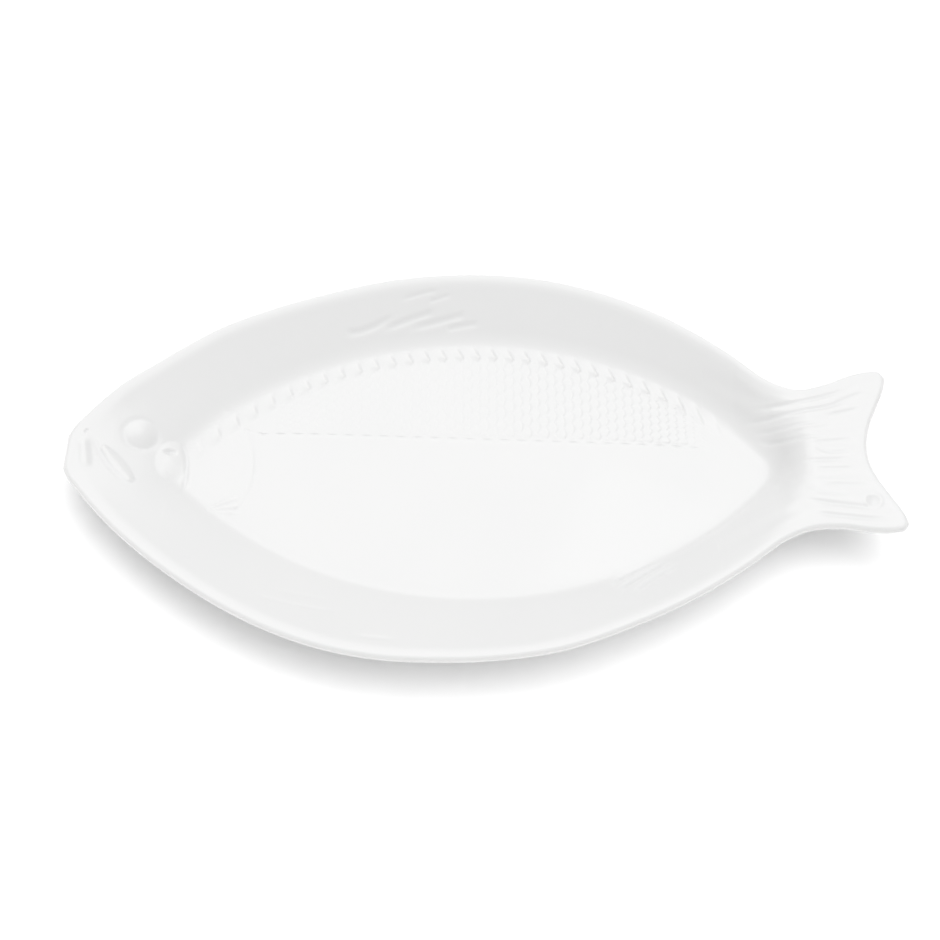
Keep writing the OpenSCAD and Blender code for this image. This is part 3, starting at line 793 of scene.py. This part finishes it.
    def pooling(self, x: Array, y: Array, d: Array) -> Array:
        """How much glaze pools: the relief around a point, on average, less the relief at it.

        Positive values lie in hollows, negative ones on crests. The rim counts as a crest.

        Args:
            x, y: places along and across the fish.
            d: distances in from the edge of the platter.

        Returns:
            A value of about -1 to 1 for each point.
        """
        reach = self.pool_reach
        around = sum(self.relief.height(x + a, y + b)
                     for a, b in ((reach, 0), (-reach, 0), (0, reach), (0, -reach))) / 4
        value = (around - self.relief.height(x, y)) / self.pool_full
        return np.clip(value, -1, 1) - self.rim_thin * (1 - ramp(d / (0.8 * self.form.rim_r)))

    def low_rows(self) -> Array:
        """Rows kept on the underside: all of them over the lips, and fewer between.

        Returns:
            Row numbers, from the belly rim to the back rim.
        """
        _, belly, back, last = self.row_marks
        lip, step = self.lip_rows, self.low_step
        return np.unique(np.concatenate([
            np.arange(0, lip + 1), np.arange(lip, belly, step), np.arange(belly, back, 4 * step),
            np.arange(back, last - lip, step), [belly, back], np.arange(last - lip, last + 1)]))


def quads(grid: Array) -> Array:
    """Corners of the faces between the points of a grid of point numbers."""
    return np.stack([grid[:-1, :-1], grid[1:, :-1], grid[1:, 1:], grid[:-1, 1:]], axis=-1)


@dataclass
class Faces:
    """Corners and corner normals of the faces of a piece, gathered in groups."""

    groups: list[tuple[Array, Array]] = field(default_factory=list)

    def add(self, corners: Array, normals: Array) -> None:
        """Adds faces with one normal at each corner; triangles with a doubled corner are dropped.

        Args:
            corners: point numbers, three or four to a face.
            normals: a normal for each corner.
        """
        corners = corners.reshape(-1, corners.shape[-1])
        normals = normals.reshape(-1, corners.shape[-1], 3)
        kept = (corners != np.roll(corners, 1, axis=1)).all(axis=1) | (corners.shape[1] == 4)
        self.groups.append((corners[kept], normals[kept]))

    def flat(self, corners: Array, points: Array) -> None:
        """Adds faces with their own flat normal, for the hidden cuts between two regions.

        Args:
            corners: point numbers, three or four to a face.
            points: all points of the piece.
        """
        p = points[corners]
        normal = np.cross(p[..., 1, :] - p[..., 0, :], p[..., 2, :] - p[..., 0, :])
        size = np.linalg.norm(normal, axis=-1, keepdims=True)
        normal = np.where(size > 1e-16, normal / np.maximum(size, 1e-16), (0.0, 0.0, 1.0))
        self.add(corners, np.repeat(normal[..., None, :], corners.shape[-1], axis=-2))

    def mesh(self, name: str, points: Array, pool: Array | None = None) -> bpy.types.Mesh:
        """Puts the points in use, the faces and the corner normals into a mesh.

        Args:
            name: name of the mesh.
            points: all points of the piece.
            pool: how much glaze pools at each point, if the piece is glazed.

        Returns:
            The finished mesh, shaded smooth with its own corner normals.
        """
        used, numbers = np.unique(np.concatenate([c.ravel() for c, _ in self.groups]), return_inverse=True)
        sizes = np.concatenate([np.full(len(c), c.shape[1]) for c, _ in self.groups])
        mesh = bpy.data.meshes.new(name)
        mesh.vertices.add(len(used))
        mesh.vertices.foreach_set("co", points[used].astype(np.float32).ravel())
        mesh.loops.add(len(numbers))
        mesh.loops.foreach_set("vertex_index", numbers.astype(np.int32))
        mesh.polygons.add(len(sizes))
        mesh.polygons.foreach_set("loop_start", (np.cumsum(sizes) - sizes).astype(np.int32))
        mesh.polygons.foreach_set("use_smooth", np.ones(len(sizes), dtype=bool))
        mesh.update(calc_edges=True)
        mesh.normals_split_custom_set(np.concatenate([n.reshape(-1, 3) for _, n in self.groups]).tolist())
        if pool is not None:
            pooled = mesh.attributes.new("glaze_pool", "FLOAT", "POINT")
            pooled.data.foreach_set("value", pool[used].astype(np.float32))
        return mesh


@dataclass
class GlazedRegion:
    """One region of the skin: a closed piece between two marks along the fish and two across it.

    The marks along are the nose, the gill, the root of the tail, the neck and the tips, and those
    across are the belly rim, the two edges of the floor and the back rim.
    """

    skin: GlazedSkin
    node: str = ""
    columns: tuple[int, int] = (0, 4)
    rows: tuple[int, int] = (0, 3)

    def build(self) -> bpy.types.Object:
        """Makes the region: upper face, underside, closed lips and the hidden cuts.

        Returns:
            The piece, riding the platter in place of its node.
        """
        skin = self.skin
        i0, i1 = skin.column_marks[list(self.columns)]
        j0, j1 = skin.row_marks[list(self.rows)]
        at_nose, at_tips = i0 == 0, i1 == skin.column_marks[-1]
        at_belly, at_back = j0 == 0, j1 == skin.row_marks[-1]
        kept = skin.low_rows()
        kept = kept[(kept >= j0) & (kept <= j1)]
        part, marks = (slice(i0, i1 + 1), slice(j0, j1 + 1)), kept - j0
        top = np.arange((i1 - i0 + 1) * (j1 - j0 + 1)).reshape(i1 - i0 + 1, -1)
        low = top.size + np.arange(len(top) * len(kept)).reshape(len(top), -1)
        if at_belly:
            low[:, 0] = top[:, 0]
        if at_back:
            low[:, -1] = top[:, -1]
        if at_nose:
            low[0] = top[0, marks]
        if at_tips:
            low[-1] = top[-1, marks]
        points, normals = (np.concatenate([upper[part].reshape(-1, 3), lower[part[0], kept].reshape(-1, 3)])
                           for upper, lower in ((skin.top, skin.low), (skin.top_normals, skin.low_normals)))
        faces, upper = Faces(), quads(top)
        faces.add(upper, normals[upper])
        under = quads(low[int(at_nose):len(low) - int(at_tips)])
        under = np.roll(under[..., ::-1], 1, axis=-1)
        faces.add(under, normals[under])
        for end, is_open, way in ((0, at_nose, 1), (-1, at_tips, -1)):
            strip = self.zip_rows(top[end], low[end + way if is_open else end], marks)[:, ::way]
            if is_open:
                faces.add(strip, normals[strip])
            else:
                faces.flat(strip, points)
        if not at_belly:
            faces.flat(quads(np.stack([low[:, 0], top[:, 0]], axis=1)), points)
        if not at_back:
            faces.flat(quads(np.stack([top[:, -1], low[:, -1]], axis=1)), points)
        pool = np.concatenate([skin.pool[part].ravel(), np.zeros(low.size)])
        name = "glazed_" + self.node
        piece = bpy.data.objects.new(name, faces.mesh(name, points, pool))
        bpy.context.scene.collection.objects.link(piece)
        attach(piece, "root")
        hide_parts(self.node)
        return piece

    @staticmethod
    def zip_rows(fine: Array, coarse: Array, kept: Array) -> Array:
        """A strip of triangles between a fine row of points and a coarse one beside it.

        Args:
            fine: point numbers of the fine row.
            coarse: point numbers of the coarse row.
            kept: place in the fine row of each coarse point.

        Returns:
            Triangles, three corners each.
        """
        part = np.clip(np.searchsorted(kept, np.arange(len(fine) - 1), side="right") - 1, 0, len(kept) - 2)
        small = np.stack([fine[:-1], fine[1:], coarse[part]], axis=-1)
        large = np.stack([fine[kept[1:]], coarse[1:], coarse[:-1]], axis=-1)
        return np.concatenate([small, large])


@dataclass
class WellFloor(GlazedRegion):
    """Flat floor of the well with its scales and its lateral line."""

    node: str = "well_floor"
    columns: tuple[int, int] = (1, 2)
    rows: tuple[int, int] = (1, 2)


@dataclass
class Head(GlazedRegion):
    """Head with its eye, mouth, cheek and gill cover, from the nose to the gill."""

    node: str = "head"
    columns: tuple[int, int] = (0, 1)


@dataclass
class BackWall(GlazedRegion):
    """Sloping wall along the back of the fish, from the floor to the back rim."""

    node: str = "back_wall"
    columns: tuple[int, int] = (1, 2)
    rows: tuple[int, int] = (2, 3)


@dataclass
class BellyWall(GlazedRegion):
    """Sloping wall along the belly of the fish, from the belly rim to the floor."""

    node: str = "belly_wall"
    columns: tuple[int, int] = (1, 2)
    rows: tuple[int, int] = (0, 1)


@dataclass
class TailRoot(GlazedRegion):
    """End of the well, rising to the neck of the tail."""

    node: str = "tail_root"
    columns: tuple[int, int] = (2, 3)


@dataclass
class TailFin(GlazedRegion):
    """Fanned tail fin with its rays, from the neck to the trailing edge."""

    node: str = "tail_fin"
    columns: tuple[int, int] = (3, 4)


@dataclass
class FootRing:
    """Ring that the platter stands on: a rounded profile carried round the edge of the floor."""

    form: FishForm
    inset: float = 0.002
    width: float = 0.0045
    round_r: float = 0.0009
    flare: float = 0.0007
    turns: int = 720
    least_turns: int = 24

    def profile(self) -> Array:
        """Section of the ring as (distance in from the edge of the floor, height) pairs.

        The bottom corners are quarter circles, and towards the top each side widens as the square of
        the height, as the clay does where a foot meets the body.

        Returns:
            The points of the section, from the outer side under the ring to the inner side.
        """
        h, turn = self.form.foot_h, np.linspace(0.0, np.pi / 2, 7)
        up = np.linspace(self.round_r, h, 9)[1:]
        spread = self.flare * np.clip((up - 0.5 * h) / (0.5 * h), 0, 1) ** 2
        far = self.inset + self.width
        bow, low = self.round_r * (1 - np.cos(turn)), self.round_r * (1 - np.sin(turn))
        sides = ((self.inset - spread, up, -1), (self.inset + bow, low, 1), (far - bow, low, -1),
                 (far + spread, up, 1))
        return np.concatenate([np.stack([inward, height], axis=1)[::way] for inward, height, way in sides])

    def path(self) -> tuple[Array, Array]:
        """Points of the edge of the floor and the outward directions there.

        The edge has two long arcs and two round tips. Each piece takes its share of the turns by its
        length, and a direction is the angle on its own circle.

        Returns:
            The points and the directions, each as (x, y) rows.
        """
        f = self.form
        lean = math.atan2(f.arc_drop, f.tip_x)
        parts = [(f.tip_x, 0.0, f.tip_r, -lean, lean), (0.0, -f.arc_drop, f.arc_r, lean, math.pi - lean),
                 (-f.tip_x, 0.0, f.tip_r, math.pi - lean, math.pi + lean),
                 (0.0, f.arc_drop, f.arc_r, math.pi + lean, 2 * math.pi - lean)]
        places, ways = [], []
        total = sum(r * (b - a) for _, _, r, a, b in parts)
        for cx, cy, r, a, b in parts:
            count = max(int(self.turns * r * (b - a) / total), self.least_turns)
            angle = np.linspace(a, b, count, endpoint=False)
            way = np.stack([np.cos(angle), np.sin(angle)], axis=1)
            places.append(np.array((f.x_mid + cx, cy)) + r * way)
            ways.append(way)
        return np.concatenate(places), np.concatenate(ways)

    def build(self) -> bpy.types.Object:
        """Carries the closed profile along the path and closes it on itself.

        Returns:
            The piece, riding the platter in place of its node.
        """
        at, way = self.path()
        section = self.profile()
        plan = at[:, None, :] - way[:, None, :] * section[None, :, 0, None]
        height = np.broadcast_to(section[None, :, 1, None], plan.shape[:2] + (1,))
        points = np.concatenate([plan, height], axis=-1)
        grid = np.arange(points.shape[0] * points.shape[1]).reshape(points.shape[:2])
        ahead, beside = np.roll(grid, -1, axis=0), np.roll(grid, -1, axis=1)
        corners = np.stack([grid, beside, np.roll(ahead, -1, axis=1), ahead], axis=-1)
        along, across = (np.roll(points, -1, axis=k) - np.roll(points, 1, axis=k) for k in (0, 1))
        normal = np.cross(across, along)
        normal /= np.linalg.norm(normal, axis=-1, keepdims=True)
        flat_points = points.reshape(-1, 3)
        faces = Faces()
        faces.add(corners[:, :-1], normal.reshape(-1, 3)[corners[:, :-1]])
        faces.flat(corners[:, -1], flat_points)
        piece = bpy.data.objects.new("ground_foot_ring", faces.mesh("ground_foot_ring", flat_points))
        bpy.context.scene.collection.objects.link(piece)
        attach(piece, "root")
        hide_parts("foot_ring")
        return piece


class Flow(Enum):
    """Directions of a group's sockets."""

    IN = "INPUT"
    OUT = "OUTPUT"


@dataclass
class Wiring:
    """A node tree with short ways to add nodes and to feed their inputs."""

    tree: bpy.types.NodeTree

    def feed(self, node: Node, values: dict[str | int, object]) -> Node:
        """Gives the inputs of a node their values.

        Args:
            node: node that is fed.
            values: a socket to link or a value to set, by the name or number of the input.

        Returns:
            The same node.
        """
        for key, value in values.items():
            if isinstance(value, bpy.types.NodeSocket):
                self.tree.links.new(value, node.inputs[key])
            else:
                node.inputs[key].default_value = value
        return node

    def add(self, kind: str, values: dict[str | int, object], **settings: object) -> Node:
        """Adds a node.

        Args:
            kind: type of the node, without the word ShaderNode.
            values: what its inputs get, as in feed.
            settings: the node's own settings.

        Returns:
            The new node.
        """
        node = self.tree.nodes.new("ShaderNode" + kind)
        for name, value in settings.items():
            setattr(node, name, value)
        return self.feed(node, values)

    def math(self, kind: str, a: Socket | float, b: Socket | float, held: bool = False) -> Socket:
        """Result of one step of arithmetic, held between 0 and 1 where that is asked."""
        return self.add("Math", {0: a, 1: b}, operation=kind, use_clamp=held).outputs[0]

    def noise(self, place: Socket, scale: float, detail: float = 2.0, rough: float = 0.5) -> Socket:
        """Noise in space, about 0 to 1, with `scale` waves to the metre."""
        values = {"Vector": place, "Scale": scale, "Detail": detail, "Roughness": rough}
        return self.add("TexNoise", values).outputs["Fac"]

    def blend(self, share: Socket, a: Socket | Colour, b: Socket | Colour) -> Socket:
        """Colour that turns from a to b with a share."""
        return self.add("Mix", {0: share, 6: a, 7: b}, data_type="RGBA").outputs[2]

    def mapped(self, value: Socket, kind: str, given: Pair, wanted: Pair) -> Socket:
        """A value taken from one range to another, held at both ends, evenly or softly."""
        values = dict(zip(("Value", "From Min", "From Max", "To Min", "To Max"), (value, *given, *wanted)))
        return self.add("MapRange", values, interpolation_type=kind).outputs["Result"]

    def bent(self, height: Socket, strength: float, distance: float) -> Socket:
        """Normal bent by a height, which counts over a distance in metres."""
        values = {"Strength": strength, "Distance": distance, "Height": height}
        return self.add("Bump", values).outputs["Normal"]


def new_group(name: str, sockets: list[tuple[str, Flow, str, object]]) -> tuple[Wiring, Node, Node]:
    """Makes an empty shader node group.

    Args:
        name: name of the group.
        sockets: name, direction, socket type and default value of each socket.

    Returns:
        The wiring of the group, its input node and its output node.
    """
    group = bpy.data.node_groups.new(name, "ShaderNodeTree")
    for label, flow, kind, value in sockets:
        socket = group.interface.new_socket(name=label, in_out=flow.value, socket_type="NodeSocket" + kind)
        if value is not None:
            socket.default_value = value
    return Wiring(group), group.nodes.new("NodeGroupInput"), group.nodes.new("NodeGroupOutput")


def new_material(name: str) -> tuple[bpy.types.Material, Wiring, Node, Socket]:
    """Makes an empty material.

    Args:
        name: name of the material.

    Returns:
        The material, its wiring, its shader and the socket with the place on the object.
    """
    made = bpy.data.materials.new(name)
    made.use_nodes = True
    wiring = Wiring(made.node_tree)
    place = wiring.add("TexCoord", {}).outputs["Object"]
    return made, wiring, made.node_tree.nodes["Principled BSDF"], place


class SharedEffects:
    """Node groups that more than one finish can use, each built once."""

    def __init__(self) -> None:
        """Builds the groups."""
        self.glaze = self.build_glaze()
        self.ripple = self.build_ripple()
        self.grain = self.build_grain()

    @staticmethod
    def build_glaze() -> bpy.types.NodeTree:
        """Glaze over white clay: deeper and cooler in hollows, thinner and warmer on crests.

        The share of thick glaze is 0.42, plus the pooling times its strength, plus a slow cloud.

        Returns:
            The group, with a colour and the share.
        """
        wiring, start, end = new_group("glaze_depth", [
            ("Place", Flow.IN, "Vector", None), ("Pool", Flow.IN, "Float", 0.0),
            ("Pool Strength", Flow.IN, "Float", 0.5), ("Thin", Flow.IN, "Color", (1, 1, 1, 1)),
            ("Thick", Flow.IN, "Color", (1, 1, 1, 1)),
            ("Color", Flow.OUT, "Color", None), ("Share", Flow.OUT, "Float", None)])
        given = start.outputs
        cloud = wiring.math("SUBTRACT", wiring.noise(given["Place"], 16.0, 3.0), 0.5)
        cloud = wiring.math("MULTIPLY", cloud, 0.5)
        pooled = wiring.math("MULTIPLY", given["Pool"], given["Pool Strength"])
        share = wiring.math("ADD", wiring.math("ADD", pooled, cloud), 0.42, held=True)
        wiring.feed(end, {"Color": wiring.blend(share, given["Thin"], given["Thick"]), "Share": share})
        return wiring.tree

    @staticmethod
    def build_ripple() -> bpy.types.NodeTree:
        """Slow waves that a melted glaze keeps, with a much finer skin on them, as one height.

        Returns:
            The group, with the height.
        """
        wiring, start, end = new_group("glaze_ripple", [
            ("Place", Flow.IN, "Vector", None), ("Waves", Flow.IN, "Float", 1.0),
            ("Skin", Flow.IN, "Float", 0.1), ("Height", Flow.OUT, "Float", None)])
        given = start.outputs
        slow = wiring.math("MULTIPLY", wiring.noise(given["Place"], 70.0, 1.0), given["Waves"])
        fine = wiring.math("MULTIPLY", wiring.noise(given["Place"], 900.0), given["Skin"])
        wiring.feed(end, {"Height": wiring.math("ADD", slow, fine)})
        return wiring.tree

    @staticmethod
    def build_grain() -> bpy.types.NodeTree:
        """Grain of fired clay: fine noise for the height and sparse darker grains as a mask.

        Returns:
            The group, with the height and the mask.
        """
        wiring, start, end = new_group("clay_grain", [
            ("Place", Flow.IN, "Vector", None), ("Amount", Flow.IN, "Float", 1.0),
            ("Height", Flow.OUT, "Float", None), ("Grains", Flow.OUT, "Float", None)])
        given = start.outputs
        fine = wiring.noise(given["Place"], 2600.0, 3.0, 0.6)
        height = wiring.math("ADD", fine, wiring.noise(given["Place"], 900.0))
        spots = wiring.math("MULTIPLY", wiring.math("SUBTRACT", fine, 0.62), 6.0, held=True)
        wiring.feed(end, {"Height": wiring.math("MULTIPLY", height, given["Amount"]),
                          "Grains": wiring.math("MULTIPLY", spots, given["Amount"], held=True)})
        return wiring.tree


@dataclass(frozen=True)
class PorcelainFinish:
    """White porcelain under a clear gloss glaze."""

    effects: SharedEffects
    thin: Colour = (0.885, 0.883, 0.878, 1.0)
    thick: Colour = (0.835, 0.840, 0.842, 1.0)
    pool_strength: float = 0.45
    thin_roughness: float = 0.13
    thick_roughness: float = 0.06
    ripple_m: float = 0.00002
    ior: float = 1.5

    def material(self) -> bpy.types.Material:
        """Builds the material: pooled colour, and a gloss and a rippled normal that follow it.

        Returns:
            The finished material.
        """
        made, wiring, shader, place = new_material("glazed_porcelain_white")
        pool = wiring.add("Attribute", {}, attribute_name="glaze_pool").outputs["Fac"]
        glaze = wiring.add("Group", {
            "Place": place, "Pool": pool, "Pool Strength": self.pool_strength,
            "Thin": self.thin, "Thick": self.thick}, node_tree=self.effects.glaze).outputs
        rough = wiring.math("MULTIPLY", glaze["Share"], self.thick_roughness - self.thin_roughness)
        ripple = wiring.add("Group", {"Place": place, "Waves": 1.0, "Skin": 0.03},
                            node_tree=self.effects.ripple).outputs["Height"]
        wiring.feed(shader, {
            "Base Color": glaze["Color"], "Roughness": wiring.math("ADD", rough, self.thin_roughness),
            "Normal": wiring.bent(ripple, 0.5, self.ripple_m), "IOR": self.ior})
        return made


@dataclass(frozen=True)
class FootFinish:
    """Bare, ground clay where the platter stands, and glaze on the sides above it."""

    effects: SharedEffects
    bare: Colour = (0.80, 0.775, 0.735, 1.0)
    bare_dark: Colour = (0.58, 0.55, 0.51, 1.0)
    glazed: Colour = (0.865, 0.865, 0.860, 1.0)
    bare_to: float = 0.0011
    waver: float = 0.0007
    edge_sharpness: float = 6000.0
    bare_roughness: float = 0.72
    glazed_roughness: float = 0.10
    grain_m: float = 0.00003
    ior: float = 1.5

    def material(self) -> bpy.types.Material:
        """Builds the material: a mask by height, wavering by a noise, mixes clay with glaze.

        Returns:
            The finished material.
        """
        made, wiring, shader, place = new_material("ground_foot_clay")
        up = wiring.add("SeparateXYZ", {0: place}).outputs["Z"]
        waver = wiring.math("MULTIPLY", wiring.noise(place, 220.0), self.waver)
        level = wiring.math("SUBTRACT", wiring.math("ADD", up, waver), self.bare_to)
        glazed = wiring.math("ADD", wiring.math("MULTIPLY", level, self.edge_sharpness), 0.5, held=True)
        grain = wiring.add("Group", {"Place": place, "Amount": 0.6}, node_tree=self.effects.grain).outputs
        ripple = wiring.add("Group", {"Place": place, "Waves": 0.3, "Skin": 0.05},
                            node_tree=self.effects.ripple).outputs["Height"]
        clay = wiring.blend(grain["Grains"], self.bare, self.bare_dark)
        smoother = wiring.math("MULTIPLY", glazed, self.bare_roughness - self.glazed_roughness)
        rough_clay = wiring.math("MULTIPLY", grain["Height"], wiring.math("SUBTRACT", 1.0, glazed))
        rise = wiring.math("ADD", rough_clay, ripple)
        wiring.feed(shader, {
            "Base Color": wiring.blend(glazed, clay, self.glazed),
            "Roughness": wiring.math("SUBTRACT", self.bare_roughness, smoother),
            "Normal": wiring.bent(rise, 0.6, self.grain_m), "IOR": self.ior})
        return made


@dataclass
class Studio:
    """Plain white floor, soft light from above and slightly behind, and the camera."""

    floor_size: float = 9.0
    floor_white: float = 0.94
    sky_low: float = 0.455
    sky_high: float = 0.995
    key_axis: Triple = (0.38, 0.05, 1.0)
    key_spread: float = 64.0
    key_power: float = 1.15
    glow_strength: float = 1.25
    glow_axis: Triple = (-0.07, 0.54, 0.83)
    glow_cosines: Pair = (0.829, 0.990)
    box_at: Triple = (0.30, 0.57, 1.45)
    box_size: float = 0.5
    box_power: float = 0.38
    elevation: float = 57.0
    yaw: float = 0.15
    distance: float = 0.758
    target: Triple = (-0.0052, -0.0106, 0.024)
    lens: float = 60.86
    sensor: float = 36.0

    @staticmethod
    def aimed(name: str, data: bpy.types.ID, at: Vector, way: Vector) -> bpy.types.Object:
        """Makes a lamp or a camera.

        Args:
            name: name of the object.
            data: its light or its camera.
            at: where it stands.
            way: where it faces.

        Returns:
            The object, linked to the scene.
        """
        made = bpy.data.objects.new(name, data)
        made.location = at
        made.rotation_euler = way.to_track_quat("-Z", "Y").to_euler()
        bpy.context.scene.collection.objects.link(made)
        return made

    def floor(self) -> bpy.types.Object:
        """Flat floor at z = 0 with a faint, slow change of roughness.

        Returns:
            The floor, which is staging and no part of the platter.
        """
        s = self.floor_size / 2
        mesh = bpy.data.meshes.new("studio_floor")
        mesh.from_pydata([(-s, -s, 0), (s, -s, 0), (s, s, 0), (-s, s, 0)], [], [(0, 1, 2, 3)])
        made, wiring, shader, place = new_material("studio_paper")
        cloud = wiring.math("MULTIPLY", wiring.noise(place, 3.0), 0.1)
        wiring.feed(shader, {"Base Color": (self.floor_white,) * 3 + (1.0,), "Specular IOR Level": 0.1,
                             "Roughness": wiring.math("ADD", cloud, 0.85)})
        mesh.materials.append(made)
        floor = bpy.data.objects.new("studio_floor", mesh)
        bpy.context.scene.collection.objects.link(floor)
        return floor

    def sky(self) -> None:
        """White sky with a wide soft glow above and behind.

        The strength of the sky rises evenly with the height of a direction, and the glow is added as a
        soft ramp of the cosine between a direction and the axis of the glow. The camera itself sees
        a plain white sky.
        """
        world = bpy.data.worlds.new("studio_sky")
        bpy.context.scene.world = world
        world.use_nodes = True
        wiring = Wiring(world.node_tree)
        way = wiring.add("TexCoord", {}).outputs["Generated"]
        up = wiring.add("SeparateXYZ", {0: way}).outputs["Z"]
        height = wiring.mapped(up, "LINEAR", (0.0, 1.0), (self.sky_low, self.sky_high))
        lean = wiring.add("VectorMath", {0: way, 1: Vector(self.glow_axis).normalized()},
                          operation="DOT_PRODUCT").outputs["Value"]
        glow = wiring.mapped(lean, "SMOOTHSTEP", self.glow_cosines, (0.0, self.glow_strength))
        seen = wiring.add("LightPath", {}).outputs["Is Camera Ray"]
        strength = wiring.math("MAXIMUM", wiring.math("ADD", height, glow), seen)
        wiring.feed(world.node_tree.nodes["Background"], {"Color": (1.0,) * 4, "Strength": strength})

    def lamps(self, floor: bpy.types.Object) -> None:
        """A soft box that faces the platter, and a wide light from overhead on the floor alone.

        Args:
            floor: the studio floor, the one receiver of the overhead light, which keeps it white.
        """
        box = bpy.data.lights.new("soft_box", "AREA")
        box.shape = "RECTANGLE"
        box.size, box.size_y, box.energy = self.box_size, self.box_size, self.box_power
        self.aimed("soft_box", box, Vector(self.box_at), -Vector(self.box_at))
        key = bpy.data.lights.new("floor_key", "SUN")
        key.energy, key.angle = self.key_power, math.radians(self.key_spread)
        receivers = bpy.data.collections.new("floor_only")
        receivers.objects.link(floor)
        lamp = self.aimed("floor_key", key, Vector(), -Vector(self.key_axis))
        lamp.light_linking.receiver_collection = receivers

    def camera(self) -> None:
        """Camera at the photo's angle: straight from the belly side, 57 degrees above the floor."""
        turn, rise = math.radians(self.yaw), math.radians(self.elevation)
        back = Vector((math.sin(turn) * math.cos(rise), -math.cos(turn) * math.cos(rise), math.sin(rise)))
        data = bpy.data.cameras.new("photo_camera")
        data.sensor_width, data.lens = self.sensor, self.lens
        data.clip_start, data.clip_end = 0.01, 50.0
        at = Vector(self.target) + self.distance * back
        bpy.context.scene.camera = self.aimed("photo_camera", data, at, -back)
        view = bpy.context.scene.view_settings
        view.view_transform, view.look, view.exposure, view.gamma = "Standard", "None", 0.0, 1.0


def main() -> None:
    """Builds camera and studio, then the regions of the platter in order, and notes the sizes."""
    logging.basicConfig(level=logging.INFO, format="%(name)s: %(message)s")
    studio = Studio()
    studio.camera()
    studio.sky()
    studio.lamps(studio.floor())
    form = FishForm()
    skin = GlazedSkin(form, Relief(ScalePattern(form), HeadRelief(), WallFins(), TailRelief(form)))
    effects = SharedEffects()
    porcelain, foot = PorcelainFinish(effects).material(), FootFinish(effects).material()
    regions = (WellFloor(skin), Head(skin), BackWall(skin), BellyWall(skin), TailRoot(skin), TailFin(skin))
    for part in (*regions, FootRing(form)):
        piece = part.build()
        piece.data.materials.append(foot if isinstance(part, FootRing) else porcelain)
        log.info("%s: %d points, %d faces", piece.name, len(piece.data.vertices), len(piece.data.polygons))
    bpy.context.view_layer.update()


if __name__ == "__main__":
    main()
